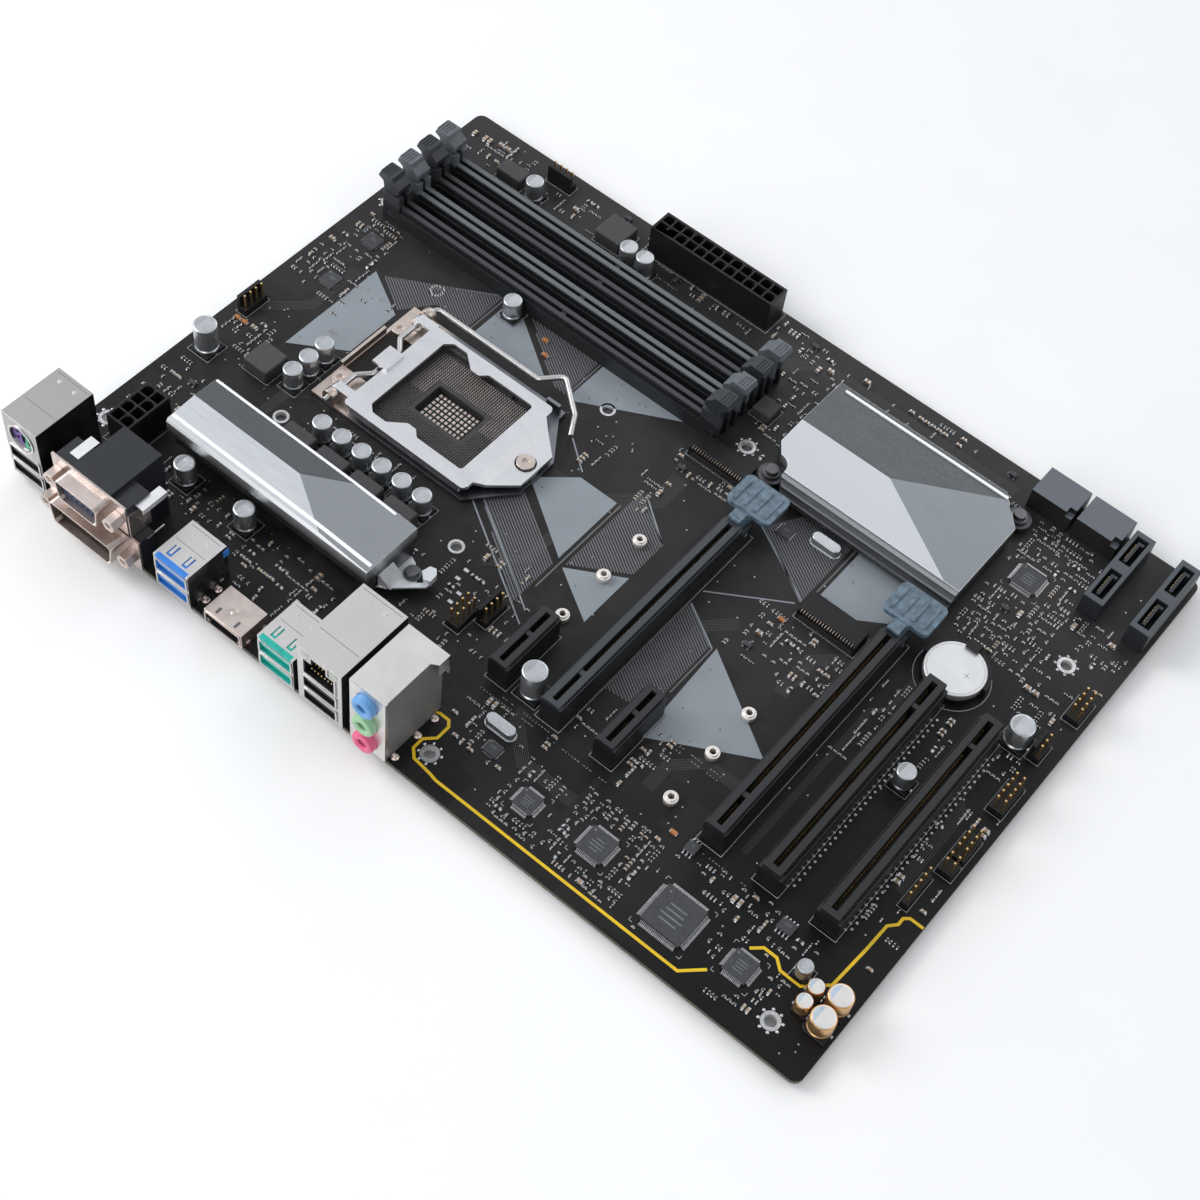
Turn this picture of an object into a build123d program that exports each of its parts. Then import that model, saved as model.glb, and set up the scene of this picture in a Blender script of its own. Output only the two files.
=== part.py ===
from build123d import *
import os

os.makedirs("parts", exist_ok=True)

# A full-size computer motherboard with a lever-locked processor socket.
# Places on the board are measured from the corner where the processor end meets the
# rear (connector) edge: x runs along the length towards the slot end, y runs from the
# rear edge to the front edge, z is the height over the board's top face.

# ---- Board ----
BOARD_LENGTH = 304.8
BOARD_DEPTH = 221.0
BOARD_THICKNESS = 1.6
BOARD_CORNER = 3.0
UNDERSIDE = -BOARD_THICKNESS
TAIL_REACH = 2.0  # the soldered tails and the socket's backplate end this far below the board
TAIL_END = UNDERSIDE - TAIL_REACH
REAR_OVERHANG = 7.0  # the lower video port reaches this far past the rear edge

# ---- Row frame: the middle of the footprint, at the level of the tails' ends ----
ORIGIN_X = BOARD_LENGTH / 2
ORIGIN_Y = (BOARD_DEPTH - REAR_OVERHANG) / 2
BOARD_TOP = TAIL_REACH + BOARD_THICKNESS

# ---- Fastening holes ----
CASE_HOLE_R = 1.98
CASE_COLUMN_NEAR = 6.35
CASE_COLUMN_MID = 163.83
CASE_COLUMN_FAR = 288.29
CASE_HOLES = [
    (CASE_COLUMN_NEAR, 33.02),
    (CASE_COLUMN_NEAR, 165.1),
    (CASE_COLUMN_MID, 10.16),
    (CASE_COLUMN_MID, 165.1),
    (CASE_COLUMN_FAR, 10.16),
    (CASE_COLUMN_FAR, 165.1),
]
COOLER_X, COOLER_Y = 83.26, 108.17
COOLER_PITCH = 75.0
COOLER_HOLE_R = 2.0

# ---- Processor socket ----
SOCKET_X, SOCKET_Y = 85.6, 107.2
SOCKET_SIDE = 42.5
SOCKET_HEIGHT = 5.0
PACKAGE_SIDE = 37.9
SEAT_Z = 3.0
SCREW_R = 1.5
FRAME_SCREWS = [(49.8, 94.0), (49.8, 123.0)]
NOSE_SCREW = (117.6, 107.2)
LEVER_X, LEVER_Z = 53.6, 4.4
WIRE_R = 1.0
BORE_CLEARANCE = 0.06
PLATE_TOP = 6.6
PLATE_SHEET = 1.1

# ---- Heatsinks ----
VRM_X0, VRM_X1 = 31.0, 115.0
VRM_Y0, VRM_Y1 = 36.2, 58.6
VRM_TOP = 18.0
CHIPSET_X0, CHIPSET_X1 = 173.6, 249.6
CHIPSET_Y0, CHIPSET_Y1 = 153.4, 202.4
CHIPSET_TOP = 9.4
PIN_HOLE_R = 1.5
HEATSINK_PINS = [(27.6, 51.6, 3.6), (119.6, 51.6, 3.6), (177.2, 159.6, 3.0), (247.0, 200.4, 3.0)]

# ---- Memory slots ----
MEMORY_X = 82.3
MEMORY_FIRST_Y = 162.0
MEMORY_PITCH = 9.6
MEMORY_WIDTH = 6.5
MEMORY_HEIGHT = 8.5
TOWER_HEIGHT = 12.6
MEMORY_KEY_X = 87.4
MODULE_HALF = 66.9
TOWER_IN, TOWER_OUT = 65.6, 73.2
LATCH_PIVOT_U, LATCH_PIVOT_Z = 70.2, 3.6
LATCH_THICK = 3.0
LATCH_HEAD = 6.2
BOSS_R = 1.2

# ---- Expansion slots ----
SLOT_REAR_Y = 41.5
SLOT_HEIGHT = 11.2
EXPRESS_WIDTH = 7.5
EXPRESS_GROOVE = 1.8
EXPRESS_LONG = 89.0
EXPRESS_SHORT = 25.0
GRAPHICS_X, SECOND_LONG_X = 182.6, 243.3
SHORT_SLOT_XS = [162.2, 202.8]
PCI_XS = [263.2, 283.5]
PCI_LENGTH = 84.8
PCI_WIDTH = 8.4
RETAINER_Y = SLOT_REAR_Y + EXPRESS_LONG + 3.0
RETAINER_Z = 4.2
RETAINER_PIN_R = 1.0

# ---- Card and drive connectors ----
M2_WIDTH, M2_DEPTH, M2_HEIGHT = 22.0, 8.2, 4.2
M2_SLOTS = [(162.0, 152.6, [42, 60, 80]), (225.7, 125.3, [42, 60, 80])]
STANDOFF_R, STANDOFF_BORE, STANDOFF_HEIGHT = 2.3, 1.0, 2.6
PORT_PITCH = 16.7

# ---- Rear connectors ----
PORT_FACE = -0.8  # the connector faces stand this far past the rear edge
USB_WIDTH, USB_OPENING = 12.6, 5.2


def above(x, y, z=0.0):
    """A level plane z above the board's top face."""
    return Plane((x - ORIGIN_X, y - ORIGIN_Y, BOARD_TOP + z))


def facing_rear(x, y, z=0.0):
    """An upright plane seen from the rear edge: its x runs along the board, its y is up."""
    return Plane(above(x, y, z).origin, x_dir=(1, 0, 0), z_dir=(0, -1, 0))


def facing_side(x, y, z=0.0):
    """An upright plane across the board: its x runs from rear to front, its y is up."""
    return Plane(above(x, y, z).origin, x_dir=(0, 1, 0), z_dir=(1, 0, 0))


def place(x, y, z=0.0):
    return Locations(above(x, y, z))


def block(x0, x1, y0, y1, z0, z1, mode=Mode.ADD):
    """A box between two corners."""
    with place((x0 + x1) / 2, (y0 + y1) / 2, (z0 + z1) / 2):
        Box(x1 - x0, y1 - y0, z1 - z0, mode=mode)


def post(x, y, z0, z1, radius, mode=Mode.ADD):
    """An upright cylinder."""
    with place(x, y, (z0 + z1) / 2):
        Cylinder(radius, z1 - z0, mode=mode)


def rod_across(x, y, z, length, radius, mode=Mode.ADD):
    """A cylinder lying along y, centred on the point."""
    with Locations(above(x, y, z).location * Rotation(90, 0, 0)):
        Cylinder(radius, length, mode=mode)


def rod_along(x, y, z, length, radius, mode=Mode.ADD):
    """A cylinder lying along x, centred on the point."""
    with Locations(above(x, y, z).location * Rotation(0, 90, 0)):
        Cylinder(radius, length, mode=mode)


# ======== Printed circuit board ========
with BuildPart() as circuit_board:
    with BuildSketch(above(BOARD_LENGTH / 2, BOARD_DEPTH / 2, UNDERSIDE)):
        RectangleRounded(BOARD_LENGTH, BOARD_DEPTH, BOARD_CORNER)
    extrude(amount=BOARD_THICKNESS)
    with BuildSketch(above(0, 0, UNDERSIDE)):
        with Locations(*CASE_HOLES):
            Circle(CASE_HOLE_R)
    extrude(amount=BOARD_THICKNESS, mode=Mode.SUBTRACT)
    with BuildSketch(above(COOLER_X, COOLER_Y, UNDERSIDE)):
        with GridLocations(COOLER_PITCH, COOLER_PITCH, 2, 2):
            Circle(COOLER_HOLE_R)
    extrude(amount=BOARD_THICKNESS, mode=Mode.SUBTRACT)
    with BuildSketch(above(0, 0, UNDERSIDE)):
        with Locations(*FRAME_SCREWS, NOSE_SCREW):
            Circle(SCREW_R + 0.1)
        with Locations(*[(x, y) for x, y, _ in HEATSINK_PINS]):
            Circle(PIN_HOLE_R)
        for x, card_y, lengths in M2_SLOTS:
            with Locations(*[(x, card_y - length) for length in lengths]):
                Circle(STANDOFF_BORE)
    extrude(amount=BOARD_THICKNESS, mode=Mode.SUBTRACT)
circuit_board.part.label = "circuit_board"
export_step(circuit_board.part, "parts/circuit_board.step")

# ======== Power-stage heatsink: a faceted cap on fins ========
FACET_X, FACET_Y = 75.8, 48.6  # where the three top facets meet
PAD_TOP = 2.1
with BuildPart() as vrm_heatsink:
    with BuildSketch(facing_side(VRM_X0, 0)):
        with BuildLine():
            Polyline(
                (VRM_Y0, 11.5),
                (VRM_Y0, 16.2),
                (VRM_Y0 + 1.2, VRM_TOP),
                (VRM_Y1 - 1.2, VRM_TOP),
                (VRM_Y1, 16.8),
                (VRM_Y1, 10.0),
                (VRM_Y0 + 2.0, 10.0),
                close=True,
            )
        make_face()
        with Locations(*[(VRM_Y0 + 3.2 + 3.2 * n, 7.0) for n in range(6)]):
            Rectangle(1.3, 6.4)
        with Locations((VRM_Y0 + 16.4, (PAD_TOP + 10.2) / 2)):
            Rectangle(9.0, 10.2 - PAD_TOP)
    extrude(amount=VRM_X1 - VRM_X0)
    # The top falls away from one point in three facets: front, rear and slot end.
    for tilt, towards in ((3.6, (0, 1)), (3.6, (0, -1)), (2.2, (1, 0))):
        axis = (-towards[1], towards[0], 0)
        plane = Plane(above(FACET_X, FACET_Y, VRM_TOP).origin)
        split(bisect_by=plane.rotated((axis[0] * tilt, axis[1] * tilt, 0)), keep=Keep.BOTTOM)
    # Two feet take the push pins.
    block(25.0, VRM_X0 + 1, 48.2, 55.0, 2.4, 3.6)
    block(VRM_X0, VRM_X0 + 1.2, 48.2, 55.0, 2.4, 12.0)
    block(VRM_X1 - 1, 123.0, 48.2, 55.0, 2.4, 3.6)
    block(VRM_X1 - 1.2, VRM_X1, 48.2, 55.0, 2.4, 12.0)
    for x, y, _ in HEATSINK_PINS[:2]:
        post(x, y, 0.0, 6.0, PIN_HOLE_R + 0.1, mode=Mode.SUBTRACT)
vrm_heatsink.part.label = "vrm_heatsink"
export_step(vrm_heatsink.part, "parts/vrm_heatsink.step")

# ======== Chipset heatsink: a low faceted slab with cut corners ========
CHIPSET_FACET = (208.6, 179.8)
with BuildPart() as chipset_heatsink:
    with BuildSketch(above(0, 0, 2.6)):
        with BuildLine():
            Polyline(
                (CHIPSET_X0, CHIPSET_Y0 + 15),
                (CHIPSET_X0 + 11.5, CHIPSET_Y0),
                (CHIPSET_X1, CHIPSET_Y0),
                (CHIPSET_X1, CHIPSET_Y1 - 10.5),
                (CHIPSET_X1 - 10, CHIPSET_Y1),
                (CHIPSET_X0, CHIPSET_Y1),
                close=True,
            )
        make_face()
    extrude(amount=CHIPSET_TOP - 2.6)
    # The rear side steps down in three ridges.
    for step in range(3):
        reach = CHIPSET_Y0 + 1.9 * (3 - step)
        block(CHIPSET_X0, CHIPSET_X1, CHIPSET_Y0 - 1, reach, CHIPSET_TOP - 1.6 * (step + 1), 12, mode=Mode.SUBTRACT)
    for tilt, towards in ((2.8, (0, 1)), (2.9, (0, -1)), (1.7, (1, 0))):
        axis = (-towards[1], towards[0], 0)
        plane = Plane(above(*CHIPSET_FACET, CHIPSET_TOP).origin)
        split(bisect_by=plane.rotated((axis[0] * tilt, axis[1] * tilt, 0)), keep=Keep.BOTTOM)
    block(199, 225, 165, 191, 1.9, 3.0)
    # Shallow channels underneath leave fins.
    for n in range(9):
        x = CHIPSET_X0 + 4.0 + 8.4 * n
        block(x, x + 4.2, 192.0, CHIPSET_Y1 - 2, 2.0, 4.4, mode=Mode.SUBTRACT)
    for x, y, _ in HEATSINK_PINS[2:]:
        post(x, y, 1.8, 12, PIN_HOLE_R + 0.1, mode=Mode.SUBTRACT)
    # Ears carry the two push pins outside the slab.
    for x, y, _ in HEATSINK_PINS[2:]:
        post(x, y, 1.8, 3.0, 4.4)
        post(x, y, 3.0, 12.0, 4.4, mode=Mode.SUBTRACT)
        post(x, y, 1.0, 12.0, PIN_HOLE_R + 0.1, mode=Mode.SUBTRACT)
chipset_heatsink.part.label = "chipset_heatsink"
export_step(chipset_heatsink.part, "parts/chipset_heatsink.step")

# ======== Push pins that hold both heatsinks ========
with BuildPart() as heatsink_pins:
    for x, y, seat in HEATSINK_PINS:
        post(x, y, seat, seat + 1.0, 2.9)
        post(x, y, seat + 1.0, seat + 2.6, 2.1)
        post(x, y, UNDERSIDE, seat, PIN_HOLE_R - 0.06)
        post(x, y, TAIL_END + 0.4, UNDERSIDE, PIN_HOLE_R + 0.5)
heatsink_pins.part.label = "heatsink_pins"
export_step(heatsink_pins.part, "parts/heatsink_pins.step")

# ======== Power transistors under the rear heatsink ========
MOSFET_HEIGHT = 1.1
with BuildPart() as mosfets:
    for n in range(7):
        x = VRM_X0 + 9.0 + 10.6 * n
        block(x, x + 5.2, 49.4, 55.4, 0.0, MOSFET_HEIGHT)
mosfets.part.label = "mosfets"
export_step(mosfets.part, "parts/mosfets.step")

# ======== Chipset package ========
CHIPSET_DIE_TOP = 1.4
with BuildPart() as chipset:
    block(200, 224, 166, 190, 0.0, 0.8)
    block(206, 218, 173, 183, 0.8, CHIPSET_DIE_TOP)
chipset.part.label = "chipset"
export_step(chipset.part, "parts/chipset.step")

# ======== Thermal pads between the chips and their heatsinks ========
with BuildPart() as thermal_pads:
    block(VRM_X0 + 7, VRM_X0 + 80, 49.0, 56.0, MOSFET_HEIGHT, PAD_TOP)
    block(204, 220, 171, 185, CHIPSET_DIE_TOP, 1.9)
thermal_pads.part.label = "thermal_pads"
export_step(thermal_pads.part, "parts/thermal_pads.step")

# ======== Processor socket ========
WELL_HALF_X, WELL_HALF_Y = 9.8, 6.4
with BuildPart() as cpu_socket:
    with BuildSketch(above(SOCKET_X, SOCKET_Y)):
        RectangleRounded(SOCKET_SIDE, SOCKET_SIDE, 1.2)
    extrude(amount=SOCKET_HEIGHT)
    with BuildSketch(above(SOCKET_X, SOCKET_Y, SEAT_Z)):
        RectangleRounded(PACKAGE_SIDE, PACKAGE_SIDE, 0.6)
    extrude(amount=SOCKET_HEIGHT, mode=Mode.SUBTRACT)
    with BuildSketch(above(SOCKET_X, SOCKET_Y)):
        RectangleRounded(2 * WELL_HALF_X, 2 * WELL_HALF_Y, 0.8)
    extrude(amount=SOCKET_HEIGHT, mode=Mode.SUBTRACT)
    # Finger gaps in the side walls and the two keys that line up the package.
    for side in (-1, 1):
        y = SOCKET_Y + side * (SOCKET_SIDE / 2 - 1)
        block(SOCKET_X - 8, SOCKET_X + 2, y - 1.6, y + 1.6, SEAT_Z + 0.4, 6, mode=Mode.SUBTRACT)
        key_y = SOCKET_Y + side * (PACKAGE_SIDE / 2 - 0.4)
        post(SOCKET_X + 10.4, key_y, SEAT_Z, SOCKET_HEIGHT - 0.3, 0.8)
cpu_socket.part.label = "cpu_socket"
export_step(cpu_socket.part, "parts/cpu_socket.step")

# ======== Contact field ========
with BuildPart() as socket_contacts:
    with BuildSketch(above(SOCKET_X, SOCKET_Y, SEAT_Z)):
        Rectangle(PACKAGE_SIDE - 3.2, PACKAGE_SIDE - 3.2)
        Rectangle(2 * WELL_HALF_X + 1.6, 2 * WELL_HALF_Y + 1.6, mode=Mode.SUBTRACT)
    extrude(amount=0.3)
socket_contacts.part.label = "socket_contacts"
export_step(socket_contacts.part, "parts/socket_contacts.step")

# ======== Pressed-steel frame round the socket ========
FRAME_Z, FRAME_SHEET = 0.3, 1.4
LUG_YS = (84.2, 131.2)
LUG_THICK = 2.8
with BuildPart() as socket_frame:
    with BuildSketch(above(0, 0, FRAME_Z)):
        with BuildLine():
            Polyline(
                (46.2, 84.2),
                (110.5, 84.2),
                (122.6, 98.8),
                (122.6, 115.6),
                (112.4, 130.4),
                (112.4, 134.0),
                (46.2, 134.0),
                close=True,
            )
        make_face()
        with Locations((SOCKET_X, SOCKET_Y)):
            Rectangle(SOCKET_SIDE + 0.8, SOCKET_SIDE + 0.8, mode=Mode.SUBTRACT)
        with Locations(*FRAME_SCREWS, NOSE_SCREW):
            Circle(SCREW_R + 0.1, mode=Mode.SUBTRACT)
    extrude(amount=FRAME_SHEET)
    # Raised edge behind the lever's crank.
    block(46.2, 47.3, 98.0, 119.0, FRAME_Z, 4.6)
    # Catch that the lever's free arm rests against when it is down.
    block(106.0, 111.4, 131.2, 132.4, FRAME_Z, 6.2)
    # Two lugs carry the lever's shaft.
    for y in LUG_YS:
        with BuildSketch(facing_rear(LEVER_X, y + LUG_THICK, 0)):
            with Locations((0, 2.35)):
                Rectangle(5.0, LEVER_Z - FRAME_Z)
            with Locations((0, LEVER_Z)):
                Circle(2.5)
                Circle(WIRE_R + BORE_CLEARANCE, mode=Mode.SUBTRACT)
        extrude(amount=LUG_THICK)
socket_frame.part.label = "socket_frame"
export_step(socket_frame.part, "parts/socket_frame.step")

# ======== Screws through frame, board and backplate ========
with BuildPart() as socket_screws:
    for x, y in FRAME_SCREWS:
        post(x, y, FRAME_Z + FRAME_SHEET, FRAME_Z + FRAME_SHEET + 1.3, 2.9)
        post(x, y, FRAME_Z + FRAME_SHEET + 0.5, 4, 1.2, mode=Mode.SUBTRACT)
        post(x, y, TAIL_END + 0.1, FRAME_Z + FRAME_SHEET, SCREW_R)
    x, y = NOSE_SCREW
    post(x, y, FRAME_Z + FRAME_SHEET, 4.7, 2.2)
    post(x, y, 4.7, 5.9, 3.1)
    post(x, y, 5.1, 7, 1.3, mode=Mode.SUBTRACT)
    post(x, y, TAIL_END + 0.1, FRAME_Z + FRAME_SHEET, SCREW_R)
socket_screws.part.label = "socket_screws"
export_step(socket_screws.part, "parts/socket_screws.step")

# ======== Backplate under the board ========
with BuildPart() as socket_backplate:
    with BuildSketch(above(0, 0, TAIL_END)):
        with BuildLine():
            Polyline((43.8, 86), (50, 79), (108, 79), (124, 98), (124, 117), (108, 136), (50, 136), (43.8, 129), close=True)
        make_face()
        fillet(vertices(), 3.0)
        with Locations((SOCKET_X, SOCKET_Y)):
            RectangleRounded(29, 27, 3, mode=Mode.SUBTRACT)
        with Locations(*FRAME_SCREWS, NOSE_SCREW):
            Circle(SCREW_R + 0.08, mode=Mode.SUBTRACT)
    extrude(amount=TAIL_REACH)
socket_backplate.part.label = "socket_backplate"
export_step(socket_backplate.part, "parts/socket_backplate.step")

# ======== Socket lever: one bent wire with a crank under the load plate ========
CRANK = 4.0
ARM_Y = 136.8
with BuildPart() as socket_lever:
    with BuildLine():
        FilletPolyline(
            above(LEVER_X, 82.4, LEVER_Z).origin,
            above(LEVER_X, 97.0, LEVER_Z).origin,
            above(LEVER_X + CRANK, 101.5, LEVER_Z).origin,
            above(LEVER_X + CRANK, 114.0, LEVER_Z).origin,
            above(LEVER_X, 118.5, LEVER_Z).origin,
            above(LEVER_X, ARM_Y, LEVER_Z).origin,
            above(98.0, ARM_Y, LEVER_Z).origin,
            above(104.5, 143.0, LEVER_Z + 1.2).origin,
            above(117.0, 132.6, LEVER_Z + 1.2).origin,
            above(121.5, 125.0, LEVER_Z + 1.2).origin,
            radius=2.2,
        )
    with BuildSketch(facing_rear(LEVER_X, 82.4, LEVER_Z)):
        Circle(WIRE_R)
    sweep(transition=Transition.ROUND)
socket_lever.part.label = "socket_lever"
export_step(socket_lever.part, "parts/socket_lever.step")

# ======== Load plate: a pressed plate with a window, hinged on the lever's shaft ========
PLATE_X0, PLATE_X1 = 59.6, 110.8
PLATE_Y0, PLATE_Y1 = 84.8, 129.4
PLATE_BOTTOM = PLATE_TOP - PLATE_SHEET
EAR_SPANS = ((87.3, 90.7), (126.4, 130.2))
NOSE_DROP = 1.7
NOSE_SLOPE_X = PLATE_X1 + 3.6
with BuildPart() as load_plate:
    with BuildSketch(above(0, 0, PLATE_BOTTOM)):
        with BuildLine():
            Polyline(
                (PLATE_X0, PLATE_Y0),
                (PLATE_X1, PLATE_Y0),
                (PLATE_X1, PLATE_Y1),
                (PLATE_X0, PLATE_Y1),
                close=True,
            )
        make_face()
        fillet(vertices(), 1.6)
    extrude(amount=PLATE_SHEET)
    # The window: wide at the lever end, with two tabs that press on the package.
    with BuildSketch(above(0, 0, PLATE_BOTTOM - 1)):
        with BuildLine():
            Polyline(
                (66.8, 90.6),
                (69.4, 88.2),
                (75.0, 88.2),
                (80.6, 92.6),
                (84.0, 92.6),
                (86.4, 90.2),
                (105.2, 90.2),
                (105.2, 125.4),
                (86.4, 125.4),
                (84.0, 123.0),
                (80.6, 123.0),
                (75.0, 127.6),
                (69.4, 127.6),
                (66.8, 125.2),
                close=True,
            )
        make_face()
        fillet(vertices(), 1.2)
    extrude(amount=PLATE_SHEET + 2, mode=Mode.SUBTRACT)
    # Stiffening flanges along both long sides.
    for y in (PLATE_Y0, PLATE_Y1 - 0.9):
        block(PLATE_X0 + 3, PLATE_X1 - 2, y, y + 0.9, 3.4, PLATE_BOTTOM + 0.3)
    # The nose slopes down to the front screw and has a slot that passes its head.
    with BuildSketch(facing_rear(0, PLATE_Y1 - 1.6)):
        with BuildLine():
            Polyline(
                (PLATE_X1 - 1.0, PLATE_BOTTOM),
                (PLATE_X1 - 1.0, PLATE_TOP),
                (PLATE_X1, PLATE_TOP),
                (NOSE_SLOPE_X, PLATE_TOP - NOSE_DROP),
                (122.2, PLATE_TOP - NOSE_DROP),
                (122.2, PLATE_BOTTOM - NOSE_DROP),
                (NOSE_SLOPE_X - 0.4, PLATE_BOTTOM - NOSE_DROP),
                (PLATE_X1 - 0.4, PLATE_BOTTOM),
                close=True,
            )
        make_face()
    extrude(amount=PLATE_Y1 - PLATE_Y0 - 3.2)
    for side, corner in ((-1, 99.6), (1, 114.8)):
        edge = PLATE_Y0 if side < 0 else PLATE_Y1
        with BuildSketch(above(0, 0, 0)):
            with BuildLine():
                Polyline(
                    (PLATE_X1 + 0.2, edge - side * 4.2),
                    (122.4, corner),
                    (125.0, corner),
                    (125.0, edge + side * 4),
                    (PLATE_X1 + 0.2, edge + side * 4),
                    close=True,
                )
            make_face()
        extrude(amount=9, mode=Mode.SUBTRACT)
    post(*NOSE_SCREW, 2, 9, 3.6, mode=Mode.SUBTRACT)
    # Two ears curl round the lever's shaft.
    for low, high in EAR_SPANS:
        block(LEVER_X, PLATE_X0 + 1, low, high, LEVER_Z + 1.08, PLATE_TOP)
        rod_across(LEVER_X, (low + high) / 2, LEVER_Z, high - low, PLATE_TOP - LEVER_Z)
        rod_across(LEVER_X, (low + high) / 2, LEVER_Z, high - low + 1, WIRE_R + BORE_CLEARANCE, mode=Mode.SUBTRACT)
    # A raised hook reaches over the crank.
    block(LEVER_X + 1.6, PLATE_X0 + 0.6, 103.4, 112.0, PLATE_TOP + 0.1, PLATE_TOP + PLATE_SHEET)
    block(PLATE_X0, PLATE_X0 + 1.8, 103.4, 112.0, PLATE_TOP - 0.2, PLATE_TOP + PLATE_SHEET)
load_plate.part.label = "load_plate"
export_step(load_plate.part, "parts/load_plate.step")

# ======== Memory slots and their end latches ========
for n in range(4):
    y = MEMORY_FIRST_Y + MEMORY_PITCH * n
    half = MEMORY_WIDTH / 2
    with BuildPart() as memory_slot:
        block(MEMORY_X - TOWER_OUT, MEMORY_X + TOWER_OUT, y - half, y + half, 0.0, MEMORY_HEIGHT - 2.2)
        block(MEMORY_X - TOWER_OUT, MEMORY_X + TOWER_OUT, y - half + 0.8, y + half - 0.8, 0.0, MEMORY_HEIGHT)
        for side in (-1, 1):
            inner, outer = sorted((MEMORY_X + side * TOWER_IN, MEMORY_X + side * TOWER_OUT))
            block(inner, outer, y - half, y + half, 0.0, TOWER_HEIGHT)
        block(MEMORY_X - 68.2, MEMORY_X + 68.2, y - 0.8, y + 0.8, 2.2, 14, mode=Mode.SUBTRACT)
        for side in (-1, 1):
            inner, outer = sorted((MEMORY_X + side * 67.8, MEMORY_X + side * (TOWER_OUT + 1)))
            pivot_x = MEMORY_X + side * LATCH_PIVOT_U
            block(inner, outer, y - LATCH_THICK / 2 - 0.3, y + LATCH_THICK / 2 + 0.3, 0.9, 14, mode=Mode.SUBTRACT)
            rod_across(pivot_x, y, LATCH_PIVOT_Z, MEMORY_WIDTH + 1, BOSS_R + BORE_CLEARANCE, mode=Mode.SUBTRACT)
        block(MEMORY_KEY_X - 1.0, MEMORY_KEY_X + 1.0, y - 1.0, y + 1.0, 2.0, MEMORY_HEIGHT - 0.6)
    memory_slot.part.label = f"memory_slot_{n + 1}"
    export_step(memory_slot.part, f"parts/memory_slot_{n + 1}.step")

    for side, end in ((-1, "left"), (1, "right")):
        pivot_x = MEMORY_X + side * LATCH_PIVOT_U
        with BuildPart() as memory_latch:
            # Stem between the tower's cheeks.
            with BuildSketch(facing_rear(MEMORY_X, y + LATCH_THICK / 2)):
                with Locations((side * LATCH_PIVOT_U, LATCH_PIVOT_Z)):
                    Circle(2.0)
                with BuildLine():
                    Polyline(
                        (side * 68.4, LATCH_PIVOT_Z),
                        (side * 68.4, 14.2),
                        (side * 72.4, 14.2),
                        (side * 72.0, LATCH_PIVOT_Z),
                        close=True,
                    )
                make_face()
            extrude(amount=LATCH_THICK)
            # Head: a hook for the module's notch and a thumb pad that leans outwards.
            with BuildSketch(facing_rear(MEMORY_X, y + LATCH_HEAD / 2)):
                with BuildLine():
                    Polyline(
                        (side * 68.0, 13.2),
                        (side * 66.1, 14.6),
                        (side * 66.1, 16.4),
                        (side * 68.6, 18.4),
                        (side * 69.2, 20.0),
                        (side * 74.6, 20.0),
                        (side * 75.4, 18.0),
                        (side * 73.2, 16.8),
                        (side * 72.6, 13.2),
                        close=True,
                    )
                make_face()
            extrude(amount=LATCH_HEAD)
            # The hook narrows to fit the groove's line; the foot lifts the module.
            inner, outer = sorted((MEMORY_X + side * 64.9, MEMORY_X + side * 68.8))
            block(inner, outer, y - 0.6, y + 0.6, 2.6, 3.6)
            # Pivot bosses.
            rod_across(pivot_x, y, LATCH_PIVOT_Z, MEMORY_WIDTH - 0.2, BOSS_R)
        memory_latch.part.label = f"memory_latch_{n + 1}_{end}"
        export_step(memory_latch.part, f"parts/memory_latch_{n + 1}_{end}.step")


# ======== Power connectors ========
POWER_PITCH = 4.2
POWER_CAVITY = 3.5
POWER_HEIGHT = 12.8


def power_housing(x, y, columns, rows):
    """An open-topped housing with one square cavity for each terminal."""
    wide = POWER_PITCH * columns + 1.2
    deep = POWER_PITCH * rows + 1.2
    block(x - wide / 2, x + wide / 2, y - deep / 2, y + deep / 2, 0.0, POWER_HEIGHT)
    with Locations(above(x, y, 7.4)):
        with GridLocations(POWER_PITCH, POWER_PITCH, columns, rows):
            Box(POWER_CAVITY, POWER_CAVITY, 11.0, mode=Mode.SUBTRACT)


MAIN_POWER = (112.3, 214.4, 12, 2)
CPU_POWER = (18.1, 36.4, 2, 4)
with BuildPart() as main_power_connector:
    power_housing(*MAIN_POWER)
    # Ramp for the plug's latch.
    block(109.3, 115.3, 219.1, 220.4, 6.0, 9.0)
main_power_connector.part.label = "main_power_connector"
export_step(main_power_connector.part, "parts/main_power_connector.step")

with BuildPart() as cpu_power_connector:
    power_housing(*CPU_POWER)
    block(12.0, 13.4, 33.4, 39.4, 6.0, 9.0)
cpu_power_connector.part.label = "cpu_power_connector"
export_step(cpu_power_connector.part, "parts/cpu_power_connector.step")

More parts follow.
